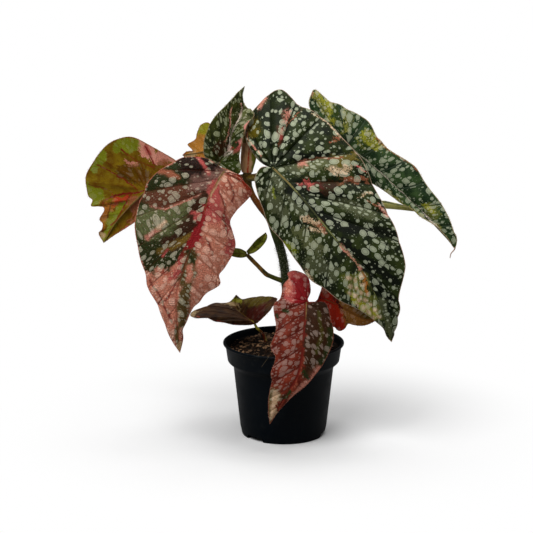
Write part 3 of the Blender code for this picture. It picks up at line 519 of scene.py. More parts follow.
def tint(piece, strokes, paints):
    """Lays patches of colour on the piece, its own colours and on leaves also painted shade and sheen: each
    stroke is (paint, half width or None, places).
    """
    mesh = piece.data
    places = np.zeros(len(mesh.vertices) * 3)
    mesh.vertices.foreach_get("co", places)
    places = places.reshape(-1, 3)
    view = in_view(places)
    pushes = ragged(places) if strokes else None
    colour = np.zeros((len(view), 4))
    cover = np.zeros(len(view))
    bare = np.zeros(len(view))
    for paint, width, shape in strokes:
        shade, strength, soft, plain, most = paints[paint]
        swing = AREA_SWING if width is None else min(AREA_SWING, 0.6 + 0.5 * width)
        soft = soft if width is None else min(soft, 0.8 + width)
        inside = reach_of(view + pushes * swing, shape, width)
        share = np.clip(0.5 + inside / soft, 0, 1)
        wide = np.clip(1 + inside / soft, 0, 1)[:, None]
        fresh = np.array([*colour_of(*shade)[:3], strength])
        first = np.where(wide > 0, fresh, colour)
        colour = np.where(cover[:, None] < 0.02, first, colour + (fresh - colour) * wide)
        cover = np.maximum(cover, share * most)
        bare += (plain - bare) * share
    mesh.attributes.new("tint", "FLOAT_COLOR", "POINT").data.foreach_set("color", colour.ravel())
    mesh.attributes.new("cover", "FLOAT", "POINT").data.foreach_set("value", cover)
    mesh.attributes.new("bare", "FLOAT", "POINT").data.foreach_set("value", bare)


def stem_skin(name, dark, light, hair):
    """The skin of a cane or a stalk: two shades in long streaks, pale lenticels and the piece's own tints."""
    finish, tree, shader, place = new_finish(name)
    dark, light, hair = (colour_of(*shade) for shade in (dark, light, hair))
    streaks = put(tree, "Mapping", {"Vector": place, "Scale": (1, 1, 0.3)}).outputs[0]
    share = rise(tree, grain(tree, streaks, 0.0025, 4), 0.3, 0.7)
    ground = blend(tree, share, dark, light)
    rough = reckon(tree, "MULTIPLY_ADD", grain(tree, place, 0.0015), 0.5, -0.25)
    broken = reckon(tree, "ADD", read(tree, "cover"), rough)
    strength = reckon(tree, "MULTIPLY", rise(tree, broken, 0.3, 0.7), read(tree, "tint", "Alpha"))
    skin = blend(tree, strength, ground, read(tree, "tint", "Color"))
    flecks = put(tree, "TexVoronoi", {"Vector": place, "Scale": 700.0, "Randomness": 1.0}).outputs
    own = put(tree, "SeparateColor", {0: flecks["Color"]}).outputs[0]
    near = rise(tree, flecks["Distance"], 0.32, 0.14)
    fleck = reckon(tree, "MULTIPLY", near, reckon(tree, "GREATER_THAN", own, 0.72))
    shown = blend(tree, reckon(tree, "MULTIPLY", fleck, 0.55), skin, hair)
    matt = rise(tree, share, 0, 1, 0.55, 0.38)
    feed(tree, shader, {"Base Color": shown, "Roughness": matt, "Specular IOR Level": 0.2})
    bump(tree, shader, reckon(tree, "ADD", share, fleck), 0.00015, 0.7)
    return finish


HAIR_THICKNESS = 0.00012
THIRDS_OF_A_TURN = (0, 2.094, 4.189)
ASIDE = (0.31, 0.17, 0.93)


def hairs(name, places, ways, lengths, finish, thick=HAIR_THICKNESS):
    """Short three-sided bristles, each rooted at a place and pointing its own way."""
    places, ways = np.array(places), np.array(ways)
    ways = ways / np.linalg.norm(ways, axis=1)[:, None]
    side = np.cross(ways, ASIDE)
    side /= np.linalg.norm(side, axis=1)[:, None]
    other = np.cross(ways, side)
    ring = []
    for turn in THIRDS_OF_A_TURN:
        ring.append(places + thick * (side * math.cos(turn) + other * math.sin(turn)))
    tips = places + ways * np.array(lengths)[:, None]
    corners = np.stack(ring + [tips], axis=1).reshape(-1, 3)
    faces = []
    for index in range(len(places)):
        a = index * 4
        faces += [(a, a + 1, a + 3), (a + 1, a + 2, a + 3), (a + 2, a, a + 3), (a + 2, a + 1, a)]
    mesh = bpy.data.meshes.new(name)
    mesh.from_pydata(corners.tolist(), [], faces)
    mesh.materials.append(finish)
    return set_down(name, mesh)


def hairs_on_stalk(name, places, widths, finish, count, seed, length, span=(0, 1)):
    """Bristles spread over a stalk, or over one span of its length."""
    chance = np.random.default_rng(seed)
    run = smooth_line(places, 8)
    shares = span[0] + (span[1] - span[0]) * chance.random(count)
    spots = spread_along(run, shares)
    ways = spread_along(run, np.clip(shares + 0.01, 0, 1)) - spread_along(run, np.clip(shares - 0.01, 0, 1))
    ways /= np.linalg.norm(ways, axis=1)[:, None]
    out = np.cross(ways, chance.normal(size=(count, 3)))
    out /= np.linalg.norm(out, axis=1)[:, None]
    radii = np.interp(shares * (len(widths) - 1), np.arange(len(widths)), widths) * MM / 2
    lean = out + ways * chance.normal(0, 0.35, (count, 1))
    roots = spots + out * radii[:, None] * 0.95
    return hairs(name, roots, lean, length * chance.uniform(0.5, 1.2, count), finish)


def join(piece, *others):
    select_only(piece, *others)
    bpy.ops.object.join()
    return bpy.context.active_object


# A paint: its colour, how strong it is, how many pixels its edge takes, how far it clears the pale spots away
# (below 0 brings more of them), and how much of the skin it covers at most.
STEM_PAINTS = {
    "brown": ((122, 66, 22), 0.95, 6, 0, 1),
    "olive": ((84, 64, 22), 0.9, 6, 0, 1),
    "green": ((60, 70, 16), 0.9, 6, 0, 1),
    "deep": ((34, 42, 20), 0.85, 8, 0, 1),
}
cane_skin = stem_skin("cane_skin", (36, 48, 14), (72, 82, 32), (140, 144, 108))
pale_hair = stem_skin("pale_hair", (150, 148, 128), (190, 186, 165), (210, 205, 190))
stem_places = in_space(STEM_PATH)
stem_places[0][2] = STEM_ROOT * MM
stem_widths = [STEM_DIAMETER * width for width in STEM_WIDTHS]
stem = round_stalk("cane", stem_places, stem_widths, cane_skin, sides=32)
tint(stem, [
    ("brown", 6, [(250, 190), (254, 200), (260, 209), (264, 214)]),
    ("olive", 6, [(247, 172), (247, 184)]),
    ("green", 7, [(270, 222), (278, 243)]),
    ("deep", 7, [(280, 249), (284, 264), (286, 280), (287, 300)]),
], STEM_PAINTS)
down = hairs_on_stalk("down", stem_places, stem_widths, pale_hair, count=900, seed=3, length=0.0011)
fuzz = hairs_on_stalk(
    "fuzz", stem_places, stem_widths, pale_hair, count=700, seed=5, length=0.0032, span=(0.42, 0.62)
)
for tuft in (down, fuzz):
    tint(tuft, [], STEM_PAINTS)
hand_over(join(stem, down, fuzz), "cane", "main_stem", slot="stem_skin")


# Front leaf
# The largest leaf: a thin wing-shaped blade on a short stalk from the top of the cane, folded into pleats
# between its veins. It is dark green with grey-white ringed spots, splashed with pink and cream where the
# colour is missing from the skin.

BLADE_THICKNESS = 0.6
FULL_RELIEF_REACH = 30.0
PETIOLE_DIAMETER = 3.6
TAIL_WIDTHS = (1.4, 1.2, 1.0, 0.8)
RIB_DEPTH = 0.0005
VEIN_SLANT = 0.8
RIB_STEPS, MARGIN_STEPS = 24, 12
TOOTH_SPACING = 1.5
TOOTH_LENGTHS = (0.0004, 0.0011)
TOOTH_THICKNESS = 0.00022


def half_rows(leaf, side, rib_shares):
    """Where the rows of half a leaf start on the rib and end on the margin, and each row's vein count."""
    veins = [(0, 0)] + leaf[side + "_veins"] + [(1, 1)]
    fans = [margin for rib, margin in veins if rib == 0]
    after = [pair for pair in veins if pair[0] > 0]
    counts = np.linspace(0, len(fans) - 1, (len(fans) - 1) * leaf["fan_rows"] + 1)
    fan_edges = np.interp(counts, np.arange(len(fans)), fans)
    knots = [0] + [pair[0] for pair in after]
    ends = [fans[-1]] + [pair[1] for pair in after]
    numbers = np.arange(len(knots)) + len(fans) - 1
    starts = np.concatenate([np.zeros(len(counts)), rib_shares[1:]])
    edges = np.concatenate([fan_edges, np.interp(rib_shares[1:], knots, ends)])
    phases = np.concatenate([counts, np.interp(rib_shares[1:], knots, numbers)])
    return starts, edges, phases


def even_rib_shares(leaf, low_margin, high_margin):
    """Shares along the rib whose rows reach the two margins at even steps, with a row on every vein."""
    fine = np.linspace(0, 1, 1001)
    travel = np.zeros(1001)
    for side, margin in (("low", low_margin), ("high", high_margin)):
        rest = [pair for pair in leaf[side + "_veins"] if pair[0] > 0] + [(1, 1)]
        first = max([margin for rib, margin in leaf[side + "_veins"] if rib == 0], default=0)
        knots = [0] + [pair[0] for pair in rest]
        travel += np.interp(fine, knots, [first] + [pair[1] for pair in rest]) * line_length(margin)[-1]
    even = np.interp(np.linspace(travel[0], travel[-1], leaf["rib_rows"] + 1), travel, fine)
    fixed = [pair[0] for side in ("low", "high") for pair in leaf[side + "_veins"]]
    shares = sorted(set(np.round(np.concatenate([even, fixed, [0, 1]]), 5)))
    return np.array([s for s in shares if s in fixed or s in (0, 1) or min(abs(s - np.array(fixed))) > 0.002])


def half_blade(leaf, side, rib, margin, rib_shares, steps):
    """The rows of one half of the blade, and for each place its distances to rib, vein and margin and its
    place on the leaf when it is pressed flat, all in millimetres."""
    starts, edges, phases = half_rows(leaf, side, rib_shares)
    start, end = spread_along(rib, starts), spread_along(margin, edges)
    way = end - start
    length = np.linalg.norm(way, axis=1)
    middle = start + 0.6 * way
    flat = np.cross(way, np.gradient(middle, axis=0))
    facing = 1 if flat.sum(axis=0) @ np.array(leaf["upper"]) > 0 else -1
    spread = leaf["fan_rows"]
    sums = np.cumsum(np.vstack([np.zeros((1, 3)), flat]), axis=0)
    high = np.minimum(np.arange(len(flat)) + spread + 1, len(flat))
    low = np.maximum(np.arange(len(flat)) - spread, 0)
    normal = sums[high] - sums[low]
    normal *= facing / np.maximum(np.linalg.norm(normal, axis=1), 1e-12)[:, None]
    outward = np.linspace(0, 1, steps + 1)[None, :]
    ridge = np.abs(np.sin(np.pi * phases))[:, None] ** 0.85
    reach = np.minimum(length * TO_MM / FULL_RELIEF_REACH, 1)[:, None]
    pleat = leaf[side + "_pleat"] * ridge * np.minimum(1, 3 * outward) * (1 - 0.4 * outward)
    lift = leaf["arch"] * np.sin(np.pi * outward) + pleat
    raised = normal[:, None] * (lift * reach * MM)[..., None]
    places = start[:, None] + way[:, None] * outward[..., None] + raised
    step_lengths = np.linalg.norm(np.diff(places, axis=0), axis=2)
    travel = np.vstack([np.zeros((1, steps + 1)), np.cumsum(step_lengths, axis=0)])
    vein = np.full(travel.shape, 99.0)
    for number in range(1, len(leaf[side + "_veins"]) + 1):
        row = int(np.argmin(abs(phases - number)))
        vein = np.minimum(vein, abs(travel - travel[row]) * TO_MM * VEIN_SLANT)
    ahead = np.gradient(end, axis=0)
    ahead /= np.maximum(np.linalg.norm(ahead, axis=1), 1e-12)[:, None]
    unit = way / np.maximum(length, 1e-9)[:, None]
    slant = np.maximum(np.linalg.norm(np.cross(unit, ahead), axis=1), 0.35)[:, None]
    margin_gap = (1 - outward) * length[:, None] * TO_MM * slant
    rib_gap = outward * length[:, None] * TO_MM
    toward = np.gradient(spread_along(rib, rib_shares), axis=0)
    toward /= np.linalg.norm(toward, axis=1)[:, None]
    fan_count = len(starts) - len(rib_shares) + 1
    angle = np.zeros(len(starts))
    angle[fan_count:] = np.arccos(np.clip((unit[fan_count:] * toward[1:]).sum(axis=1), -1, 1))
    for row in range(fan_count - 1, -1, -1):
        angle[row] = angle[row + 1] + math.acos(np.clip(unit[row] @ unit[row + 1], -1, 1))
    rib_length = line_length(rib)[-1] * TO_MM
    hand = 1 if side == "high" else -1
    across = np.sin(angle)[:, None] * rib_gap * hand
    along = -starts[:, None] * rib_length - np.cos(angle)[:, None] * rib_gap
    pressed = np.stack([across, along, np.zeros_like(across)], axis=-1)
    heading = np.stack([np.sin(angle) * hand, -np.cos(angle), np.zeros_like(angle)], axis=1)
    heading = np.repeat(heading[:, None], steps + 1, axis=1)
    return places, rib_gap, vein, margin_gap, pressed, heading


def margin_line(leaf, side):
    """One margin as a smooth line, from its first place to the tip, where the rib ends too."""
    return smooth_line(in_space(leaf[side] + leaf["rib"][-1:]), MARGIN_STEPS)


def leaf_blade(leaf, finishes):
    """A blade from one grid, laid row by row round the hub from tip to tip, with its veins on rows."""
    steps = leaf["steps"]
    rib = smooth_line(in_space(leaf["rib"]), RIB_STEPS)
    low_margin, high_margin = margin_line(leaf, "low"), margin_line(leaf, "high")
    shares = even_rib_shares(leaf, low_margin, high_margin)
    halves = [half_blade(leaf, "low", rib, low_margin, shares, steps)]
    halves.append(half_blade(leaf, "high", rib, high_margin, shares, steps))
    both = [np.concatenate([low[::-1], high]) for low, high in zip(*halves)]
    places, rib_gap, vein, margin_gap, pressed, heading = both
    rows = len(places)
    bpy.ops.mesh.primitive_grid_add(x_subdivisions=steps, y_subdivisions=rows - 1, size=1)
    blade = bpy.context.active_object
    mesh = blade.data
    mesh.vertices.foreach_set("co", places.reshape(-1, 3).ravel())
    for label, values in (("rib_gap", rib_gap), ("vein_gap", vein), ("margin_gap", margin_gap)):
        mesh.attributes.new(label, "FLOAT", "POINT").data.foreach_set("value", values.ravel())
    for label, values in (("pressed", pressed), ("heading", heading)):
        mesh.attributes.new(label, "FLOAT_VECTOR", "POINT").data.foreach_set("vector", values.ravel())
    while mesh.uv_layers:
        mesh.uv_layers.remove(mesh.uv_layers[0])
    mesh.update()
    facing = sum((face.normal * face.area for face in mesh.polygons), Vector())
    bpy.ops.object.mode_set(mode="EDIT")
    bpy.ops.mesh.select_all(action="SELECT")
    if facing.dot(Vector(leaf["upper"])) < 0:
        bpy.ops.mesh.flip_normals()
    bpy.ops.mesh.remove_doubles(threshold=0.00002)
    bpy.ops.mesh.select_all(action="DESELECT")
    bpy.ops.object.mode_set(mode="OBJECT")
    tint(blade, leaf.get("tints", []), LEAF_PAINTS)
    for finish in finishes:
        mesh.materials.append(finish)
    step = blade.modifiers.new("blade", "SOLIDIFY")
    step.thickness = BLADE_THICKNESS * MM
    step.offset = 0
    step.material_offset = 1
    bpy.ops.object.modifier_apply(modifier="blade")
    bpy.ops.object.shade_smooth_by_angle(angle=math.radians(70))
    return blade


def margin_teeth(name, leaf, seed):
    """The fine soft teeth along a leaf's margin."""
    chance = np.random.default_rng(seed)
    spots, ways = [], []
    for side in ("low", "high"):
        margin = margin_line(leaf, side)
        count = int(line_length(margin)[-1] * TO_MM / TOOTH_SPACING)
        shares = np.sort(chance.random(count))
        here = spread_along(margin, shares)
        ahead = spread_along(margin, np.clip(shares + 0.01, 0, 1)) - here
        centre = in_space(leaf["rib"]).mean(axis=0)
        out = here - centre
        out -= ahead * ((out * ahead).sum(axis=1) / np.maximum((ahead * ahead).sum(axis=1), 1e-12))[:, None]
        out /= np.maximum(np.linalg.norm(out, axis=1), 1e-9)[:, None]
        spots.append(here)
        ways.append(out + chance.normal(0, 0.25, out.shape))
    spots, ways = np.vstack(spots), np.vstack(ways)
    lengths = chance.uniform(*TOOTH_LENGTHS, len(spots))
    return hairs(name, spots, ways, lengths, pink_tooth, TOOTH_THICKNESS)


def reckon_way(tree, operation, first, second, output="Vector"):
    """Reckoning with places and directions."""
    return put(tree, "VectorMath", {0: first, 1: second}, operation=operation).outputs[output]


def skin_cells(tree, place, scale, feature="F1", randomness=1.0):
    """Uneven cells over the leaf as it lies when it is pressed flat."""
    feeds = {"Vector": place, "Scale": scale, "Randomness": randomness}
    return put(tree, "TexVoronoi", feeds, voronoi_dimensions="2D", feature=feature).outputs


def grey_of(tree, value):
    return put(tree, "CombineColor", {0: value, 1: value, 2: value}).outputs[0]


def ringed_spots(tree, place, heading, bare, cell, least, most, chance):
    """One size of ringed discs, longer along the veins: how pale each place is, and how far from a disc."""
    web = skin_cells(tree, place, 1 / cell, randomness=0.85)
    walls = skin_cells(tree, place, 1 / cell, "DISTANCE_TO_EDGE", 0.85)
    own = put(tree, "SeparateColor", {0: web["Color"]}).outputs
    step = reckon_way(tree, "SUBTRACT", place, web["Position"])
    forward = reckon_way(tree, "DOT_PRODUCT", step, heading, "Value")
    square = reckon_way(tree, "DOT_PRODUCT", step, step, "Value")
    forward = reckon(tree, "MULTIPLY", forward, forward)
    slim = reckon(tree, "MULTIPLY_ADD", own[2], 0.65, 0.15)
    gap = reckon(tree, "SQRT", reckon(tree, "SUBTRACT", square, reckon(tree, "MULTIPLY", forward, slim)))
    size = rise(tree, reckon(tree, "POWER", own[0], 1.5), 0, 1, most, least)
    out = reckon(tree, "DIVIDE", gap, size)
    rings = put(tree, "ValToRGB", {0: out})
    stops = rings.color_ramp.elements
    levels = ((0, 0.84), (0.50, 0.78), (0.62, 0.52), (0.72, 0.55), (0.80, 0.95), (0.90, 0.86), (1.0, 0.0))
    for index, (spot, level) in enumerate(levels):
        stop = stops[index] if index < 2 else stops.new(spot)
        stop.position = spot
        stop.color = (level, level, level, 1)
    there = reckon(tree, "LESS_THAN", reckon(tree, "ADD", own[1], bare), chance)
    apart = rise(tree, walls["Distance"], 0.015, 0.06)
    pale = reckon(tree, "MULTIPLY", reckon(tree, "MULTIPLY", rings.outputs[0], there), apart)
    away = reckon(tree, "MAXIMUM", rise(tree, out, 1.02, 1.18), reckon(tree, "SUBTRACT", 1.0, there))
    return pale, away


def leaf_markings():
    """The skin pattern that all leaves share: ringed spots, tints, painted shade by the veins, fine net,
    veins, rib and margin.
    """
    group = bpy.data.node_groups.new("leaf_markings", "ShaderNodeTree")
    for name, kind in (
        ("Ground", "Color"), ("Light ground", "Color"), ("Spot", "Color"), ("Tint spot", "Color"),
        ("Vein", "Color"), ("Rib", "Color"), ("Margin", "Color"), ("Spot share", "Float"),
        ("Tint share", "Float"), ("Vein share", "Float"), ("Spot size", "Float"), ("Fold shade", "Float"),
    ):
        group.interface.new_socket(name, in_out="INPUT", socket_type="NodeSocket" + kind)
    for name, kind in (("Colour", "Color"), ("Height", "Float"), ("Pale", "Float")):
        group.interface.new_socket(name, in_out="OUTPUT", socket_type="NodeSocket" + kind)
    given = group.nodes.new("NodeGroupInput").outputs
    pressed = read(group, "pressed", "Vector")
    rib_gap, vein_gap, margin_gap = (read(group, name) for name in ("rib_gap", "vein_gap", "margin_gap"))
    wander = reckon_way(group, "ADD", grain(group, pressed, 4.0, 2, output=1), (-0.5, -0.5, -0.5))
    drift = put(group, "VectorMath", {0: wander, "Scale": 1.3}, operation="SCALE").outputs[0]
    place = reckon_way(group, "ADD", pressed, drift)
    sized = put(group, "VectorMath", {0: place, "Scale": given["Spot size"]}, operation="SCALE").outputs[0]
    moved = reckon_way(group, "ADD", sized, (41.3, 17.9, 0))
    bare = read(group, "bare")
    heading = read(group, "heading", "Vector")
    large, off_large = ringed_spots(group, sized, heading, bare, cell=8.6, least=1.4, most=3.6, chance=0.72)
    middle, off_middle = ringed_spots(group, moved, heading, bare, cell=5.2, least=0.7, most=1.7, chance=0.46)
    small, _ = ringed_spots(group, sized, heading, bare, cell=2.8, least=0.22, most=0.55, chance=0.30)
    clear = reckon(group, "MULTIPLY", rise(group, vein_gap, 0.4, 1.2), rise(group, rib_gap, 1.2, 2.6))
    middle = reckon(group, "MULTIPLY", middle, off_large)
    small = reckon(group, "MULTIPLY", small, reckon(group, "MULTIPLY", off_large, off_middle))
    discs = reckon(group, "MAXIMUM", reckon(group, "MAXIMUM", large, middle), small)
    pale = reckon(group, "MULTIPLY", reckon(group, "MULTIPLY", discs, clear), given["Spot share"])
    cloud = grain(group, pressed, 14, 4, 0.6)
    ground = blend(group, rise(group, cloud, 0.34, 0.68), given["Ground"], given["Light ground"])
    # Painted shade: the ground darkens towards each vein, down to the Fold shade level, for the shade in the
    # pleats' valleys.
    valley_shade = rise(group, vein_gap, 0.0, 3.4, 1.0, given["Fold shade"])
    shaded = blend(group, 1.0, ground, grey_of(group, valley_shade), "MULTIPLY")
    rough = reckon(group, "MULTIPLY_ADD", grain(group, pressed, 1.8, 5, 0.74), 2.9, -1.45)
    broken = reckon(group, "ADD", read(group, "cover"), rough)
    painted = reckon(group, "MULTIPLY", rise(group, broken, 0.36, 0.60), given["Tint share"])
    wash = reckon(group, "MULTIPLY", painted, read(group, "tint", "Alpha"))
    own = read(group, "tint", "Color")
    mottle = rise(group, grain(group, pressed, 0.9, 3, 0.7), 0.28, 0.72, 1.3, 0.62)
    own = blend(group, 1.0, own, grey_of(group, mottle), "MULTIPLY")
    skin = blend(group, wash, shaded, own)
    net = rise(group, skin_cells(group, place, 0.42, "DISTANCE_TO_EDGE")["Distance"], 0.09, 0.0)
    skin = blend(group, reckon(group, "MULTIPLY", net, 0.22), skin, given["Vein"])
    lit = blend(group, 0.34, own, (0.92, 0.82, 0.70, 1), "ADD")
    lit = blend(group, 0.85, lit, given["Tint spot"], "LIGHTEN")
    spot = blend(group, reckon(group, "MULTIPLY", painted, 0.8), given["Spot"], lit)
    skin = blend(group, pale, skin, spot)
    line = rise(group, vein_gap, 0.85, 0.15)
    skin = blend(group, reckon(group, "MULTIPLY", line, given["Vein share"]), skin, given["Vein"])
    hidden = reckon(group, "MULTIPLY_ADD", wash, -0.8, 1.0)
    skin = blend(group, reckon(group, "MULTIPLY", rise(group, rib_gap, 1.3, 0.7), hidden), skin, given["Rib"])
    edge = rise(group, reckon(group, "MULTIPLY_ADD", rough, 0.4, margin_gap), 0.75, 0.35, 0.85)
    skin = blend(group, edge, skin, given["Margin"])
    blister = skin_cells(group, place, 0.75, "SMOOTH_F1")["Distance"]
    height = reckon(group, "MULTIPLY_ADD", blister, -0.5, reckon(group, "MULTIPLY", pale, 0.35))
    height = reckon(group, "ADD", height, reckon(group, "MULTIPLY", net, -0.35))
    dent = reckon(group, "MULTIPLY", line, reckon(group, "MULTIPLY", given["Vein share"], -2.4))
    height = reckon(group, "ADD", height, dent)
    given_out = group.nodes.new("NodeGroupOutput")
    for name, value in (("Colour", skin), ("Height", height), ("Pale", pale)):
        group.links.new(value, given_out.inputs[name])
    return group


MARKINGS = leaf_markings()


def leaf_skin(name, relief=0.00045, shine=0.13, **values):
    """A leaf's skin, from its own colours for the shared pattern."""
    values = {"Tint_share": 1.0, "Spot_size": 1.0, "Tint_spot": values["Spot"], **values}
    finish, tree, shader, place = new_finish(name)
    marks = tree.nodes.new("ShaderNodeGroup")
    marks.node_tree = MARKINGS
    for socket, value in values.items():
        own = colour_of(*value) if isinstance(value, tuple) else value
        marks.inputs[socket.replace("_", " ").capitalize()].default_value = own
    worn = rise(tree, grain(tree, place, 0.006, 3), 0.3, 0.7, 0.56, 0.44)
    matt = reckon(tree, "ADD", worn, reckon(tree, "MULTIPLY", marks.outputs["Pale"], 0.08))
    shown = marks.outputs["Colour"]
    feed(tree, shader, {"Base Color": shown, "Roughness": matt, "Specular IOR Level": shine})
    bump(tree, shader, marks.outputs["Height"], relief, 0.8)
    return finish


def leaf_stalk(name, leaf, tints):
    """The leaf's stalk and the midrib that runs on from it under the blade."""
    widths = [PETIOLE_DIAMETER * width for width in leaf["stalk_widths"]]
    places = in_space(leaf["stalk"] + leaf["rib"][:1])
    stalk = round_stalk(name + "_stalk", places, widths, stalk_skin)
    rib = in_space(leaf["rib"]) - np.array(leaf["upper"]) / np.linalg.norm(leaf["upper"]) * RIB_DEPTH
    rib_widths = np.linspace(widths[-1] * 0.9, 0.5, len(rib))
    midrib = round_stalk(name + "_rib", rib, rib_widths, stalk_skin, sides=10, steps=6)
    whole = join(stalk, midrib)
    tint(whole, tints, LEAF_PAINTS)
    return whole


def make_leaf(node, leaf, finishes, slot, seed):
    """One whole leaf in place of its node: blade, stalk, midrib and teeth, and the tail where it has one."""
    name = node + "_blade"
    blade = leaf_blade(leaf, finishes)
    stalk = leaf_stalk(name, leaf, leaf.get("stalk_tints", ()))
    teeth = margin_teeth(name + "_teeth", leaf, seed)
    parts = [stalk, teeth]
    if "tail" in leaf:
        parts.append(round_stalk(name + "_tail", in_space(leaf["tail"]), TAIL_WIDTHS, pink_tooth, sides=10))
    for part in parts[1:]:
        tint(part, [], LEAF_PAINTS)
    hand_over(join(blade, *parts), name, node, slot=slot)


LEAF_PAINTS = {
    "crowded": ((226, 168, 138), 0.0, 3, -0.32, 1),
    "crowded_red": ((96, 26, 12), 0.0, 3, -0.24, 1),
    # The paint below is painted sheen: a pale green for the lit patch on the left leaf's green half.
    "fern": ((96, 102, 62), 1.0, 8, -0.2, 1),
    "hem": ((222, 142, 132), 1.0, 1.5, 0.4, 1),
    "blush": ((216, 142, 122), 1.0, 3, 0.3, 0.95),
    "oat": ((212, 134, 108), 0.85, 5, -0.36, 0.8),
    "mauve": ((136, 98, 86), 1.0, 5, 0.05, 0.9),
    "bark": ((24, 11, 0), 1.0, 5, 0.32, 1),
    "straw": ((150, 148, 56), 0.8, 4, -0.34, 0.66),
    # The paint below is painted shade: dark red lines for the shaded valleys of the left leaf's folds.
    "crease": ((112, 34, 30), 0.8, 1.5, 0, 0.75),
    "pink": ((204, 132, 112), 0.92, 3, 0.05, 0.70),
    "cream": ((224, 190, 150), 0.75, 2.5, 0.1, 0.62),
    "rose": ((184, 82, 76), 1.0, 3, 0.05, 0.72),
    "salmon": ((206, 112, 90), 1.0, 3, -0.35, 0.9),
    "crimson": ((146, 22, 28), 1.0, 3, 0.2, 0.72),
    "brick": ((172, 58, 32), 1.0, 2.5, 0.15, 0.8),
    "rust": ((152, 88, 60), 0.95, 2.5, 0.1, 0.66),
    "orange": ((172, 104, 40), 0.9, 4, 0.05, 0.72),
    "amber": ((192, 130, 54), 0.9, 4, 0, 0.9),
    "brown": ((52, 28, 6), 1.0, 5, 0.1, 0.95),
    "umber": ((82, 48, 0), 0.8, 6, 0, 0.85),
    "buff": ((184, 156, 112), 0.95, 2, 0.5, 0.9),
    "olive": ((100, 86, 14), 0.9, 4, 0, 0.85),
    "yellow": ((164, 162, 44), 0.9, 3, -0.1, 0.76),
    "lime": ((122, 132, 28), 0.9, 3, 0, 0.8),
    "blotch": ((112, 116, 44), 0.7, 5, -0.36, 0.95),
    "moss": ((50, 64, 12), 0.85, 5, -0.05, 0.8),
    "sage": ((108, 112, 70), 0.62, 8, -0.1, 0.85),
    # The paint below is painted sheen: a pale grey-green for where the front leaf's blade catches the light.
    "grey": ((96, 100, 70), 0.6, 8, -0.05, 0.9),
    # The paint below is a near-black green; on the front leaf it is painted shadow and painted shade.
    "dark": ((3, 7, 0), 0.95, 4, 0.05, 1),
    "shade": ((16, 24, 4), 0.7, 8, 0.34, 0.9),
    "wine": ((78, 20, 10), 0.95, 3, 0.2, 0.8),
    "white": ((222, 205, 190), 1.0, 1.5, 0.6, 0.85),
    "ground": ((34, 46, 10), 1.0, 3, 0, 1),
    "plum": ((100, 58, 38), 1.0, 5, -0.2, 0.85),
    "scarlet": ((206, 46, 18), 1.0, 3, 0.2, 0.9),
    "red_vein": ((118, 30, 20), 1.0, 0.9, 0, 1),
    "brown_vein": ((104, 52, 20), 0.8, 0.9, 0, 1),
}
spotted_green = leaf_skin(
    "spotted_green", Ground=(10, 19, 2), Light_ground=(46, 56, 16), Spot=(178, 185, 156), Vein=(48, 58, 32),
    Rib=(120, 124, 74), Margin=(186, 156, 132), Spot_share=0.92, Vein_share=0.3, Fold_shade=0.42,
)
green_back = leaf_skin(
    "leaf_back", Ground=(70, 60, 26), Light_ground=(96, 80, 36), Spot=(116, 104, 64), Vein=(104, 34, 24),
    Rib=(118, 52, 34), Margin=(160, 108, 86), Spot_share=0.25, Tint_share=0.45, Vein_share=0.8,
    Fold_shade=0.8,
)
pink_tooth = stem_skin("pink_tooth", (180, 140, 118), (200, 168, 148), (210, 186, 168))
stalk_skin = stem_skin("leaf_stalk_skin", (104, 84, 34), (136, 108, 56), (180, 164, 128))
CREAM_DOTS = (
    (349, 278), (355, 280), (361, 277), (351, 286), (357, 288), (363, 284), (350, 294), (355.5, 296),
    (361, 293), (360, 300), (366, 300), (371, 304), (357, 305), (364, 308), (369, 312), (375, 310),
    (379, 316), (373, 317),
)
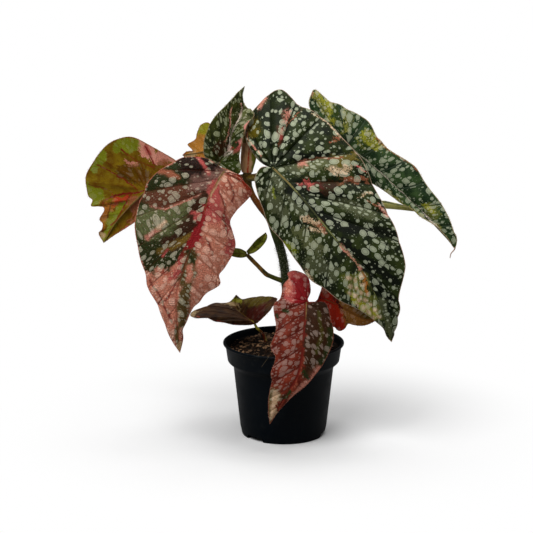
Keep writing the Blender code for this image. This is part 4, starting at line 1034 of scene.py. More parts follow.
# A leaf: its rib from the hub to the tip, its two margins and its stalk as places in the front view, and the
# way its upper side faces. The margins end at the tip and the stalk at the hub, so these aren't given twice.
# Its stalk widths are shares of the petiole's diameter. A vein goes from a share of the rib's length to a
# share of the margin's. Rows and steps say how fine the grid is, and arch and pleats are in millimetres.
front_leaf = {
    "rib": [
        (273, 168, -45), (291, 185.5, -53), (308, 205, -60), (336, 239, -69), (361, 269, -75),
        (379, 303, -76), (391.5, 342, -72),
    ],
    "low": [
        (266, 166.6, -44), (260.5, 168, -42), (256, 175.5, -40.5), (255.2, 183, -40), (263, 208.5, -46),
        (270.3, 226.7, -50), (284.8, 243.6, -54), (298.2, 263, -58), (310.3, 278.8, -60),
        (324.8, 288.5, -62), (343, 301.8, -65), (361, 310, -68), (374.5, 320, -71), (383, 327.3, -72),
        (386.7, 335.8, -72),
    ],
    "high": [
        (269.5, 167, -43), (263.5, 164.2, -38), (256.5, 157.4, -28), (247.3, 140.5, -12), (246.8, 122, 0),
        (259, 106.4, 5), (269.3, 94.7, 11), (281, 91, 12), (291.3, 98.7, 8), (300.5, 107.4, 4),
        (310.4, 111.5, 3), (325, 121, -2), (341.2, 138.7, -8), (357.4, 154.8, -15), (367.6, 173.9, -21),
        (376.4, 194.4, -28), (387, 213.4, -36), (398.4, 239.9, -48), (404, 262, -56), (403.6, 273, -60),
        (398.8, 294.5, -66), (398.8, 309, -69), (396.4, 322.4, -71),
    ],
    "upper": (0, -1, 0.3),
    "stalk": [(248.5, 177.6, -1), (256, 177, -14), (265, 172, -34)],
    "stalk_widths": (2.0, 2.0, 1.2, 0.6),
    "low_veins": [
        (0, 0.10), (0, 0.22), (0.10, 0.34), (0.25, 0.50), (0.42, 0.64), (0.58, 0.76), (0.74, 0.87),
        (0.88, 0.95),
    ],
    "high_veins": [
        (0, 0.15), (0, 0.247), (0, 0.325), (0, 0.397), (0, 0.516), (0.10, 0.60), (0.17, 0.685),
        (0.27, 0.757), (0.46, 0.90), (0.65, 0.94), (0.82, 0.975),
    ],
    "fan_rows": 18, "rib_rows": 150, "steps": 74, "arch": 3.0, "low_pleat": 2.6, "high_pleat": 4.6,
    "tints": [
        ("shade", None, [(260, 102), (287, 101), (280, 140), (258, 130)]),
        # The pale grey-green strokes from here to the first near-black one are painted sheen: on the lit
        # strip under the right crease, beside the midrib and on lit pleats.
        ("grey", None, [(276, 166), (300, 164), (322, 162), (322, 172), (296, 175), (281, 172)]),
        ("sage", 5, [(304, 164), (322, 163), (344, 166)]),
        ("grey", 5, [(276, 178), (290, 198), (304, 214)]),
        ("grey", 6, [(268, 192), (284, 216)]),
        ("sage", 7, [(300, 232), (318, 250)]),
        ("grey", 7, [(312, 262), (340, 276)]),
        ("grey", 6, [(340, 200), (370, 216)]),
        # Painted shadow: near-black above the right crease, under the upper lobe.
        ("dark", None, [
            (274, 153), (293, 152), (320, 152), (337, 152), (335, 158), (313, 158.5), (296, 161),
            (276, 163),
        ]),
        # Painted shade: the dark fold under the red strip and the valleys between the pleats.
        ("dark", 3.0, [(296, 185), (309, 190.5), (325, 194), (342, 194)]),
        ("dark", 4.6, [(311, 205), (325, 218.5), (345, 227), (365, 232), (384, 232), (396, 236)]),
        ("dark", 4.2, [(341, 240), (352, 250), (363, 257.5), (380, 270), (395, 281)]),
        ("dark", 4.6, [(363, 269), (371, 280), (380, 290), (389, 299)]),
        ("dark", 3.2, [(289, 190), (300, 199), (308, 208)]),
        ("olive", None, [(333, 158), (339, 155), (357, 153), (358, 158), (350, 162), (337, 163)]),
        ("rust", 0.3, [(300, 161.5), (312, 159), (320, 158), (333, 159), (342, 157.5)]),
        ("pink", None, [(298.6, 162), (307, 162), (306, 165.5), (300, 165)]),
        ("cream", None, [(327, 168), (338, 168), (351, 166), (351, 174), (340, 177), (330, 175)]),
        ("rose", None, [(353.5, 166.5), (363, 167), (366, 172.5), (358, 172.5)]),
        # The four patches from here are a strip of the skin's own pink and red lying in a shadowed valley;
        # their darker wine and brown parts are painted shade.
        ("rose", None, [(299, 182), (306, 179.5), (316, 180), (317, 186.5), (307, 186)]),
        ("wine", None, [(315, 179.5), (325, 180), (327, 190), (317, 189)]),
        ("brown", None, [(325, 181), (339, 182), (339, 190), (327, 192)]),
        ("rust", None, [(339, 179), (346, 176), (369, 177.5), (368, 183), (351, 183.5), (340, 185)]),
        ("pink", 2.4, [(288.5, 111), (286, 121)]),
        ("plum", 2.4, [(281.5, 129), (279.5, 145)]),
        ("rose", 0.8, [(283, 128), (281, 138)]),
        ("rust", 0.8, [(301, 109), (294, 118.5), (287.5, 125), (282, 133)]),
        ("rust", None, [(326, 144), (338.6, 135.8), (341.5, 138.5), (333, 143), (327.5, 147)]),
        ("cream", 0.9, [(312, 113), (328, 123), (340, 136), (354, 148), (357, 153)]),
        ("cream", 1.2, [(358, 197), (366, 193), (372, 194)]),
        ("rust", 0.7, [(366, 200), (378, 207), (386, 213)]),
        ("pink", 2.0, [(379, 206), (384, 211), (387, 215)]),
        ("rust", 3.0, [(306, 220), (318, 224), (324, 232)]),
        ("cream", 1.8, [(304, 219), (316, 222)]),
        ("cream", 1.6, [(310, 228), (320, 232)]),
        ("pink", 1.1, [(340, 246), (349, 255), (360, 268)]),
        ("moss", 8, [(346, 282), (360, 298), (376, 314)]),
        ("blotch", 8.5, [(355, 280), (361, 294), (374, 311)]),
        ("orange", 0.9, [(363, 274), (366, 285), (367, 294)]),
        ("yellow", 2.2, [(350, 296), (362, 306), (376, 316)]),
        *(("cream", 1.1, [dot, dot]) for dot in CREAM_DOTS),
        # Painted sheen beside the midrib near the tip.
        ("grey", 3.0, [(382, 302), (387, 318), (391, 336)]),
        ("lime", 0.5, [(273.6, 188), (273.6, 193), (274.8, 198)]),
        ("lime", 3.5, [(288, 244), (295, 252)]),
        ("cream", 1.6, [(307, 271), (312, 281)]),
        ("pink", 0.7, [(245, 137), (251, 142.5), (258, 151.5), (262, 158)]),
        ("olive", 5, [(251, 122), (254, 133)]),
        ("rust", 1.0, [(246, 130), (248, 140)]),
        ("pink", 1.2, [(267, 98), (262, 103), (258, 109)]),
        ("shade", 4, [(266, 160.5), (274, 157.5), (282, 160)]),
    ],
    "stalk_tints": [
        ("brown", 2.4, [(248, 175), (258, 175)]),
        ("olive", 2.2, [(248, 180), (258, 180)]),
        ("brown", 5, [(256, 168), (271, 168)]),
    ],
}
make_leaf("front_leaf", front_leaf, (spotted_green, green_back), "spotted_green_leaf", 21)


# Left leaf
# A large drooping leaf, half green and half without green, so that its red and pink show between cream spots.
# The thin living blade is crinkled between its veins and hangs from its own stalk off the top of the cane.

spotted_pink = leaf_skin(
    "spotted_pink", 0.0024, Ground=(158, 66, 50), Light_ground=(206, 124, 98), Spot=(232, 186, 156),
    Tint_spot=(170, 176, 150), Vein=(138, 40, 36), Rib=(140, 44, 40), Margin=(184, 100, 78),
    Spot_share=0.95, Vein_share=0.1, Fold_shade=0.8,
)
pink_back = leaf_skin(
    "pink_leaf_back", Ground=(112, 44, 30), Light_ground=(140, 68, 48), Spot=(160, 102, 80),
    Vein=(118, 28, 26), Rib=(130, 50, 40), Margin=(160, 88, 70), Spot_share=0.4, Tint_share=0.4,
    Vein_share=0.8, Spot_size=1.1, Fold_shade=0.85,
)
left_leaf = {
    "rib": [
        (223.5, 171.5, -40), (209.3, 195.7, -49), (201.6, 221.2, -57), (191.4, 246.7, -64),
        (183.8, 268.4, -68), (177.4, 287.6, -71), (176, 306.7, -73), (177.4, 325.8, -73), (180, 352.6, -70),
    ],
    "low": [
        (221, 167.4, -38), (215.2, 163.4, -34), (206, 158.8, -30), (192.2, 157, -28), (182.5, 158.2, -30),
        (173.6, 162.6, -33), (158.3, 171.5, -38), (146.8, 184.2, -42), (144.2, 193.2, -44),
        (139, 203.4, -46), (135.3, 220, -50), (135.3, 231.4, -52), (137.9, 246.7, -55), (141, 260.8, -58),
        (146, 274.8, -61), (148, 287.6, -63), (157, 303, -66), (163.4, 319.4, -68), (171, 338.6, -70),
    ],
    "high": [
        (227.5, 169.5, -38), (233.6, 172.7, -34), (240.8, 176.5, -29), (244, 182.5, -28),
        (250.3, 188.5, -28), (251.5, 192, -29), (249.7, 196.3, -32), (235.3, 211.8, -43),
        (229.7, 221.2, -47), (232.2, 231.4, -47), (234.8, 248, -49), (224.6, 267, -56), (218.9, 274.8, -59),
        (219.5, 284.4, -60), (206.7, 292.7, -64), (199, 302, -67), (192.7, 308, -69), (186.3, 322, -71),
        (182.5, 330, -71), (183.1, 338.6, -71),
    ],
    "upper": (0, -1, 0.3),
    "stalk": [(250, 189.5, 0), (243, 190, -15), (232, 183, -32)],
    "stalk_widths": (1.3, 1.05, 0.9, 0.6),
    "low_veins": [
        (0, 0.12), (0, 0.26), (0.05, 0.36), (0.11, 0.46), (0.19, 0.57), (0.29, 0.665), (0.45, 0.73),
        (0.60, 0.80), (0.75, 0.88), (0.88, 0.95),
    ],
    "high_veins": [
        (0, 0.09), (0, 0.16), (0.08, 0.27), (0.20, 0.37), (0.33, 0.47), (0.45, 0.60), (0.58, 0.72),
        (0.72, 0.83), (0.86, 0.93),
    ],
    "fan_rows": 20, "rib_rows": 150, "steps": 72, "arch": 3.0, "low_pleat": 2.0, "high_pleat": 2.0,
    "tints": [
        ("crowded", None, [(130, 150), (264, 150), (264, 300), (190, 362), (150, 332), (128, 262)]),
        ("ground", None, [
            (223, 170), (206, 157), (182, 157), (156, 172), (143, 190), (133, 225), (136, 248), (141, 263),
            (150, 276), (158, 266), (168, 270), (178, 260), (188, 248), (198, 222), (213, 188),
        ]),
        ("bark", None, [(178, 159), (206, 155), (216, 169), (208, 178), (186, 176)]),
        # Painted sheen: the pale lit patch on the green half.
        ("fern", None, [
            (138, 214), (152, 209), (168, 212), (186, 204), (200, 197), (196, 208), (178, 222), (158, 234),
            (140, 234),
        ]),
        ("plum", None, [
            (143, 195), (158, 192), (173, 190), (188, 188), (202, 185), (214, 178), (210, 188), (198, 194),
            (184, 200), (166, 208), (152, 205),
        ]),
        ("mauve", None, [(192, 180), (214, 174), (222, 172), (212, 187), (200, 192), (192, 190)]),
        ("pink", 0.15, [(150, 206), (165, 209.5), (185, 201.5), (200, 194.5), (212, 187)]),
        ("rust", 1.4, [(160, 171), (170, 174), (178, 177)]),
        ("brown", None, [
            (196, 198), (208, 192), (206, 206), (198, 228), (188, 242), (172, 249), (164, 244), (180, 230),
            (190, 214),
        ]),
        ("olive", 2.0, [(160, 251), (176, 244), (190, 236)]),
        ("pink", 1.2, [(147, 238), (153, 232), (158, 229)]),
        ("cream", 0.9, [(158, 228), (165, 221)]),
        ("rose", 0.8, [(163, 256), (168, 249)]),
        ("rose", 0.9, [(191, 213), (199, 214), (195, 219)]),
        ("rose", 0.9, [(197, 156), (202, 163), (209, 174)]),
        # The wide crimson stroke is the rib's own red with painted shade beside the rib.
        ("crimson", 4.0, [(207, 208), (203, 222), (196, 236), (189, 250), (183, 264)]),
        ("rose", 3.5, [(184, 262), (176, 276), (168, 284)]),
        ("rose", 4.5, [(215, 186), (213, 204), (210, 220)]),
        ("rose", None, [(216, 200), (226, 204), (228, 220), (222, 236), (212, 232)]),
        ("oat", None, [(224, 194), (238, 194), (243, 204), (233, 215), (225, 212)]),
        ("oat", None, [(206, 224), (220, 224), (228, 244), (232, 262), (214, 268), (206, 248)]),
        # Painted shade: dark red lines in the valleys of the blade's folds.
        ("crease", 0.5, [(219, 192), (225, 206), (223, 220), (229, 236)]),
        ("crease", 0.4, [(228, 180), (234, 192), (232, 202)]),
        ("crease", 0.5, [(206, 238), (212, 252), (214, 268), (215, 282)]),
        ("oat", None, [(202, 250), (226, 262), (214, 288), (200, 306), (194, 296), (198, 270)]),
        ("rose", 2.6, [(231, 222), (233, 240), (228, 252)]),
        ("oat", 5, [(206, 282), (198, 296), (196, 308)]),
        ("oat", None, [(144, 276), (176, 282), (178, 334), (166, 326), (152, 298)]),
        # Painted shade in two more fold valleys.
        ("crease", 0.4, [(150, 280), (162, 300), (172, 322)]),
        ("crease", 0.4, [(176, 284), (166, 300), (158, 304)]),
        ("moss", None, [
            (187, 252), (194, 252), (196, 264), (190, 284), (187, 300), (184, 326), (178, 326), (181, 290),
        ]),
        ("ground", 1.6, [(189, 252), (193, 264)]),
        ("oat", 1.6, [(190, 268), (189, 280)]),
        ("moss", 1.4, [(177, 328), (178, 342)]),
        ("buff", 0.25, [(223.5, 171.5), (216, 186), (211, 196)]),
        ("brick", 1.2, [(238, 176), (246, 186), (251, 192)]),
        ("buff", 2, [(180, 344), (180, 352)]),
    ],
}
make_leaf("left_leaf", left_leaf, (spotted_pink, pink_back), "pink_leaf", 22)


# Rear left leaf
# A thin leaf turned away, so that its underside faces the front: smooth olive and green between raised red
# veins. Its long stalk runs behind the left leaf to the top of the cane.

olive_under = leaf_skin(
    "olive_underside", shine=0.05, Ground=(100, 64, 6), Light_ground=(130, 106, 16), Spot=(144, 128, 40),
    Vein=(104, 46, 14), Rib=(134, 40, 28), Margin=(140, 74, 36), Spot_share=0.22, Vein_share=0.2,
    Fold_shade=0.9,
)
top_behind = leaf_skin(
    "spotted_top_behind", Ground=(14, 26, 9), Light_ground=(44, 54, 28), Spot=(154, 160, 138),
    Vein=(60, 60, 34), Rib=(120, 108, 62), Margin=(180, 138, 114), Spot_share=0.85, Tint_share=0.35,
    Vein_share=0.35, Fold_shade=0.5,
)
rear_left_leaf = {
    "rib": [(147, 190, 9), (129, 207, 20), (114, 225, 27), (103.7, 242.8, 31)],
    "low": [
        (149, 194, 10), (148, 205, 13), (142, 216, 17), (134.5, 222.3, 20), (125.7, 228.2, 24),
        (114, 235.5, 28),
    ],
    "high": [
        (151, 188, 8), (163, 187, 6), (177, 180, 5), (181, 169, 7), (175.6, 160.7, 9), (163.9, 153.3, 12),
        (150.7, 146, 15), (133, 137.2, 19), (118.4, 138.7, 24), (105.2, 146, 29), (94.9, 159.2, 34),
        (86, 173.9, 38), (86, 185.6, 39), (87.6, 195.9, 38), (92, 200.3, 37), (91.3, 206.2, 36),
        (101.5, 206.9, 33), (103.7, 210.6, 32), (99.3, 219.4, 33), (102.3, 223.8, 32), (101.5, 229.6, 32),
        (98.6, 234, 33),
    ],
    "upper": (0, 1, 0.3),
    "stalk": [(249, 179, 1), (236, 182, 10), (205, 187, 20), (172, 193, 22), (155, 193, 16)],
    "stalk_widths": (1.3, 1.1, 1.0, 1.0, 0.8, 0.6),
    "low_veins": [(0, 0.2), (0.25, 0.5), (0.55, 0.75), (0.8, 0.92)],
    "high_veins": [
        (0, 0.12), (0, 0.27), (0, 0.38), (0, 0.46), (0, 0.57), (0, 0.69), (0.2, 0.79), (0.5, 0.88),
        (0.75, 0.95),
    ],
    "fan_rows": 26, "rib_rows": 110, "steps": 84, "arch": 4.0, "low_pleat": 2.0, "high_pleat": 2.0,
    "tints": [
        ("lime", None, [(112, 144), (119, 138), (140, 137), (142, 149), (131, 152), (116, 152)]),
        ("lime", 5, [(94, 168), (104, 156)]),
        ("umber", None, [(116, 164), (134, 166), (152, 170), (150, 184), (132, 184), (118, 176)]),
        ("lime", None, [(85, 182), (94, 184), (104, 190), (104, 198), (98, 207), (88, 207)]),
        ("brick", None, [(112, 196), (129, 194), (134, 200), (126, 210), (112, 208)]),
        ("orange", None, [(102, 202), (111, 200), (114, 221), (100, 226)]),
        ("lime", 3.2, [(123, 206), (117, 216)]),
        ("lime", 4.0, [(113, 218), (108, 230), (104, 240)]),
        ("rust", 4.5, [(136, 200), (134, 222)]),
        ("blush", None, [
            (137, 137), (144, 141), (151, 146), (160, 150), (170, 156), (176, 160), (169, 161), (162, 164),
            (155, 166), (149, 160), (144.5, 156), (140, 151),
        ]),
        ("blush", 3.0, [(145, 149), (156, 157), (165, 160)]),
        ("rose", 1.6, [(146, 147), (149, 153)]),
        ("rust", 2, [(160, 163), (170, 164)]),
        ("pink", 1.4, [(126, 161), (131, 164), (137, 164)]),
        ("rose", 1.0, [(128, 227), (116, 235)]),
        ("buff", 2, [(99, 231), (104, 235)]),
        ("red_vein", 0.35, [
            (121, 149), (127.5, 154.5), (137.5, 161.4), (147.5, 165), (154.7, 167.7), (161, 171),
        ]),
        ("red_vein", 0.4, [(145.6, 146.4), (149.3, 154.5), (154, 165)]),
        ("red_vein", 0.5, [
            (97.5, 164.5), (104, 167.7), (115.6, 173.6), (123, 178.2), (131, 184.5), (139, 190),
        ]),
        ("brown_vein", 0.4, [(89.3, 184.5), (100.2, 186.8), (108.4, 190), (114, 192.7)]),
        ("red_vein", 0.8, [
            (147, 190.5), (137.5, 192.7), (131, 193.2), (123, 193.5), (115.6, 195), (110.2, 197.7),
        ]),
        ("red_vein", 0.3, [(110.2, 197.7), (104.7, 200.5), (102.5, 203.6)]),
        ("red_vein", 0.3, [
            (131, 193.6), (128.4, 200), (124.7, 206.4), (121, 213.6), (116.5, 220), (111, 225.5),
        ]),
        ("brown_vein", 0.4, [(138.4, 211.8), (129.3, 221.8), (122, 229), (116.5, 232.7)]),
        ("brown_vein", 0.3, [(112, 198.2), (110.2, 207.3), (107.5, 217.3)]),
    ],
}
make_leaf("rear_left_leaf", rear_left_leaf, (top_behind, olive_under), "leaf_underside", 23)


# Upright leaf
# A younger leaf that stands behind the growing tip, dark green with a pink and white sector down one side.
# The blade is thin and still a little folded, and its stalk comes from the topmost node of the cane.

spotted_young = leaf_skin(
    "spotted_young", Ground=(20, 24, 2), Light_ground=(66, 72, 18), Spot=(156, 160, 122), Vein=(56, 60, 26),
    Rib=(150, 110, 92), Margin=(120, 110, 70), Spot_share=0.85, Vein_share=0.2, Spot_size=1.3,
    Fold_shade=0.6,
)
upright_leaf = {
    "rib": [
        (219.5, 162.5, -14), (228.4, 151, -9), (231.4, 133.3, -5), (236.6, 122.3, -3), (239.8, 115.8, -1),
        (243, 107.3, 1), (241.6, 98.9, 3), (244.6, 86.2, 4),
    ],
    "low": [
        (216, 164.5, -15), (207.3, 161.9, -17), (203.4, 150.9, -18), (204.7, 137.2, -16),
        (211.2, 121.6, -13), (218.3, 112.5, -10), (227.8, 103, -6), (237.4, 92.4, -1),
    ],
    "high": [
        (221.5, 166.5, -15), (226, 170.5, -17), (236, 175, -18), (241.1, 170, -17), (239.5, 158, -16),
        (240.5, 150, -16), (244.4, 135.3, -17), (247.6, 125.5, -17), (254, 116.4, -14), (251.8, 109.9, -9),
        (247.6, 108, -4), (244, 103, 1), (242.6, 96, 3),
    ],
    "upper": (0, -1, 0.2),
    "stalk": [(247, 175.5, 0), (238, 176, -1), (228, 170.5, -7)],
    "stalk_widths": (1.2, 1.0, 0.8, 0.55),
    "low_veins": [(0, 0.17), (0, 0.32), (0, 0.47), (0.08, 0.62), (0.17, 0.78), (0.55, 0.90)],
    "high_veins": [(0, 0.15), (0, 0.28), (0, 0.4), (0.3, 0.55), (0.5, 0.68), (0.7, 0.80), (0.85, 0.9)],
    "fan_rows": 14, "rib_rows": 80, "steps": 50, "arch": 1.5, "low_pleat": 1.4, "high_pleat": 1.4,
    "tints": [
        ("brown", None, [(214, 142), (226, 140), (229, 158), (220, 160), (213, 154)]),
        ("sage", None, [(238, 109), (248, 112), (252, 119), (243, 128), (238, 126)]),
        ("hem", None, [
            (244.5, 125), (252, 124), (248, 142), (241, 152), (231, 153), (237, 144), (241.5, 136),
        ]),
        ("ground", 2.6, [(236, 139), (242, 135)]),
        ("rose", None, [(236, 143), (241, 151), (231, 151)]),
        ("crimson", 1.6, [(230, 146), (230, 151)]),
        ("rose", 0.8, [(241, 103), (242.5, 108)]),
        ("white", 0.8, [
            (243, 107), (239.8, 116), (236.6, 122), (231.4, 133), (228.4, 151), (219.5, 162.5),
        ]),
        ("pink", 0.7, [(231, 108), (230, 116), (230, 124), (228, 134), (226, 141)]),
        ("white", 0.7, [(218, 163), (232, 151.5)]),
        ("moss", None, [(220, 160), (238, 152), (240, 172), (226, 168)]),
    ],
}
make_leaf("upright_leaf", upright_leaf, (spotted_young, green_back), "spotted_green_leaf", 24)


# Small rear leaf
# A small young leaf behind the growing tip, seen from its underside. It is thin and soft, yellow-green to
# amber, and its stalk rises from behind the topmost node.

small_rear_leaf = {
    "rib": [(212, 150, 21), (201, 152, 24), (191, 153.6, 26), (182.4, 155, 27)],
    "low": [(210, 154, 21), (208, 161, 21), (202, 163, 22), (193, 160.5, 24), (186, 158.6, 26)],
    "high": [
        (214, 146, 21), (215, 138, 22), (213, 129, 23), (208, 122.5, 25), (200.8, 124.8, 27),
        (197.2, 132, 28), (195.7, 138.5, 28), (192.5, 141.3, 28), (187.4, 144.4, 28), (191, 148.2, 27),
        (193.6, 150.6, 26), (190, 151.1, 26), (186, 151.8, 27),
    ],
    "upper": (0, 1, 0.3),
    "stalk": [(248, 175.5, 2), (246.5, 172, 12), (237, 166, 20), (222, 158, 23)],
    "stalk_widths": (0.8, 0.75, 0.7, 0.65, 0.5),
    "low_veins": [(0, 0.3), (0.35, 0.55), (0.7, 0.8)],
    "high_veins": [(0, 0.2), (0, 0.4), (0, 0.55), (0.4, 0.7), (0.7, 0.85)],
    "fan_rows": 8, "rib_rows": 30, "steps": 22, "arch": 1.5, "low_pleat": 0.9, "high_pleat": 0.9,
    "tints": [
        ("yellow", None, [(190, 120), (212, 120), (214, 140), (192, 141)]),
        ("amber", None, [(186, 139), (206, 137), (207, 158), (188, 156)]),
        ("buff", None, [(182, 153), (194, 153), (194, 158), (184, 158)]),
    ],
}
make_leaf("small_rear_leaf", small_rear_leaf, (top_behind, olive_under), "leaf_underside", 25)


# Rear right leaf
# A long thin leaf behind the front leaf, blue-green with yellow-green sectors and whitish spots. Its tip runs
# out in a curled tail, and its stalk comes from a lower node of the cane.

spotted_blue_green = leaf_skin(
    "spotted_blue_green", Ground=(16, 38, 14), Light_ground=(60, 84, 42), Spot=(184, 192, 160),
    Vein=(84, 104, 78), Rib=(146, 154, 122), Margin=(176, 158, 112), Spot_share=0.9, Vein_share=0.3,
    Spot_size=1.15, Fold_shade=0.5,
)
rear_right_leaf = {
    "rib": [
        (348, 145, 11), (364, 159, 12), (380, 173, 11), (396, 187, 8), (420, 210, 2), (440, 231, -3),
        (449, 241, -6), (455, 249, -7),
    ],
    "low": [
        (345.5, 148, 12), (350, 160, 14), (358, 170, 13), (367.8, 181.4, 11), (373.4, 184, 9),
        (383.2, 190.2, 7), (393, 197.4, 5), (402.2, 204.2, 3), (413.2, 210.2, 0), (419.8, 216.6, -1),
        (430.5, 222.9, -4), (437.7, 228.2, -6), (446.6, 237.1, -8), (452, 245.4, -8),
    ],
    "high": [
        (344.5, 141.5, 12), (335, 135, 16), (322, 122, 18), (312, 111.3, 17), (308.9, 103, 16),
        (310.4, 96, 16), (314.7, 89.2, 16), (324.2, 96.6, 15), (330, 101.7, 15), (339.5, 104.2, 15),
        (347.2, 109.3, 14), (354.8, 112.5, 14), (366.3, 119.5, 13), (372, 126.6, 12), (376.5, 136.1, 11),
        (381.6, 141.2, 10), (388.6, 148.9, 9), (408.2, 161.3, 5), (417.1, 168.4, 3), (426, 183.6, 0),
        (438.6, 199.6, -5), (448.4, 215.7, -8), (453.8, 230.9, -10), (456.9, 237.1, -10),
        (456.8, 243.5, -9),
    ],
    "tail": [(455.2, 247, -7.5), (454, 250, -7), (451, 253.6, -6), (450, 258, -5)],
    "upper": (0, -1, 0.4),
    "stalk": [(268, 219, 1), (284, 214, 14), (308, 198, 26), (332, 172, 28), (344, 153, 20)],
    "stalk_widths": (1.4, 1.1, 1.0, 1.0, 0.8, 0.6),
    "low_veins": [(0, 0.1), (0, 0.2), (0.15, 0.36), (0.3, 0.5), (0.47, 0.63), (0.63, 0.75), (0.8, 0.87)],
    "high_veins": [
        (0, 0.11), (0, 0.22), (0, 0.33), (0, 0.44), (0.12, 0.54), (0.28, 0.64), (0.45, 0.74), (0.62, 0.83),
        (0.8, 0.91),
    ],
    "fan_rows": 16, "rib_rows": 130, "steps": 54, "arch": 2.5, "low_pleat": 1.5, "high_pleat": 1.5,
    "tints": [
        ("straw", None, [(314, 88), (326, 96), (336, 106), (335, 130), (328, 120), (320, 108), (312, 98)]),
        ("yellow", 1.5, [(318, 92), (328, 104), (332, 122)]),
        ("moss", 2.5, [(336, 108), (340, 124)]),
        ("straw", None, [(343, 105), (352, 110), (353, 124), (346, 132), (340, 134), (345, 120)]),
        ("sage", 2.2, [(350, 108), (351, 126)]),
        ("straw", None, [(357, 136), (366, 128), (378, 136), (386, 150), (370, 150), (357, 146)]),
        ("yellow", 1.2, [(362, 132), (366, 142), (376, 149)]),
        ("yellow", 1.0, [(372, 134), (378, 146)]),
        ("moss", 1.0, [(360, 140), (368, 148)]),
        ("orange", 1.2, [(378, 138), (389, 150)]),
        ("pink", 0.9, [(310, 98), (313, 92)]),
        ("straw", 2.6, [(386, 191), (404, 205), (422, 217), (440, 229)]),
        ("blotch", None, [(420, 200), (436, 205), (444, 218), (430, 220)]),
        ("yellow", 1.0, [(424, 204), (434, 212)]),
        ("white", 0.45, [(354, 150), (380, 172), (396, 187), (420, 209), (440, 231)]),
        ("rust", 0.8, [(388, 150), (410, 163), (420, 173)]),
    ],
}
make_leaf("rear_right_leaf", rear_right_leaf, (spotted_blue_green, green_back), "spotted_green_leaf", 26)


# Lower left leaf
# A low young leaf on its own stalk out of the soil, its brown underside and folded green-brown top both
# showing. The blade is thin and soft, and its tip has dried pale.

brown_under = leaf_skin(
    "brown_underside", Ground=(50, 26, 8), Light_ground=(88, 56, 24), Spot=(112, 84, 46), Vein=(80, 30, 16),
    Rib=(112, 84, 36), Margin=(100, 60, 36), Spot_share=0.2, Vein_share=0.5, Spot_size=1.2, Fold_shade=0.8,
)
lower_left_leaf = {
    "rib": [(254, 322.5, 8), (246, 317, 24), (239, 311.5, 38), (235.5, 305, 48), (236.3, 294.8, 52)],
    "low": [
        (251, 325, 6), (237.4, 325.2, 2), (226, 323.7, 0), (214.4, 321.4, 0), (203, 317.4, 3),
        (196.5, 318.4, 6), (190.3, 316.6, 10), (192.6, 311.8, 17), (199.5, 309.4, 24), (214.4, 303.7, 36),
        (228.2, 302.6, 46),
    ],
    "high": [
        (257, 323.3, 6), (265, 316.4, 6), (271.8, 308.4, 8), (277.6, 299.2, 15), (268.4, 297, 28),
        (258, 297, 38), (248, 298.4, 44), (242, 299.2, 48),
    ],
    "upper": (0, 0.2, 1),
    "stalk": [(266.5, 352, 9), (265.8, 341, 9), (262.5, 333.5, 9), (257, 328, 8.5)],
    "stalk_widths": (0.9, 0.9, 0.8, 0.8, 0.6),
    "low_veins": [(0, 0.14), (0, 0.28), (0, 0.42), (0.2, 0.56), (0.45, 0.7), (0.7, 0.84)],
    "high_veins": [(0, 0.2), (0, 0.42), (0.25, 0.58), (0.5, 0.72), (0.75, 0.86)],
    "fan_rows": 12, "rib_rows": 50, "steps": 34, "arch": 2.5, "low_pleat": 1.5, "high_pleat": 1.5,
    "tints": [
        ("buff", None, [(189, 308), (200, 308), (198, 318), (189, 318)]),
        ("olive", None, [(244, 297), (272, 297), (268, 305), (248, 306)]),
        ("wine", None, [(246, 308), (268, 306), (262, 318), (254, 322), (246, 316)]),
        ("lime", None, [(232, 296), (243, 297), (243, 304), (233, 304)]),
        ("yellow", 2.0, [(235.5, 300.5), (241, 302)]),
        ("buff", None, [(219, 303.5), (229, 302), (236, 304.5), (240, 311), (231, 306.5)]),
        ("dark", 1.6, [(233.5, 294.5), (238, 296)]),
        ("brick", 0.5, [(198, 317), (215, 321), (238, 324.5)]),
    ],
    "stalk_tints": [("yellow", 4, [(253, 320), (258, 332)]), ("wine", 4, [(262, 336), (267, 352)])],
}
make_leaf("lower_left_leaf", lower_left_leaf, (brown_under, brown_under), "leaf_underside", 27)


# Rim leaf
# A drooping pink and red leaf that hangs over the pot's lip, its right half dark olive with grey-green spots.
# It is a thin crinkled blade on a short stalk from the foot of the cane.

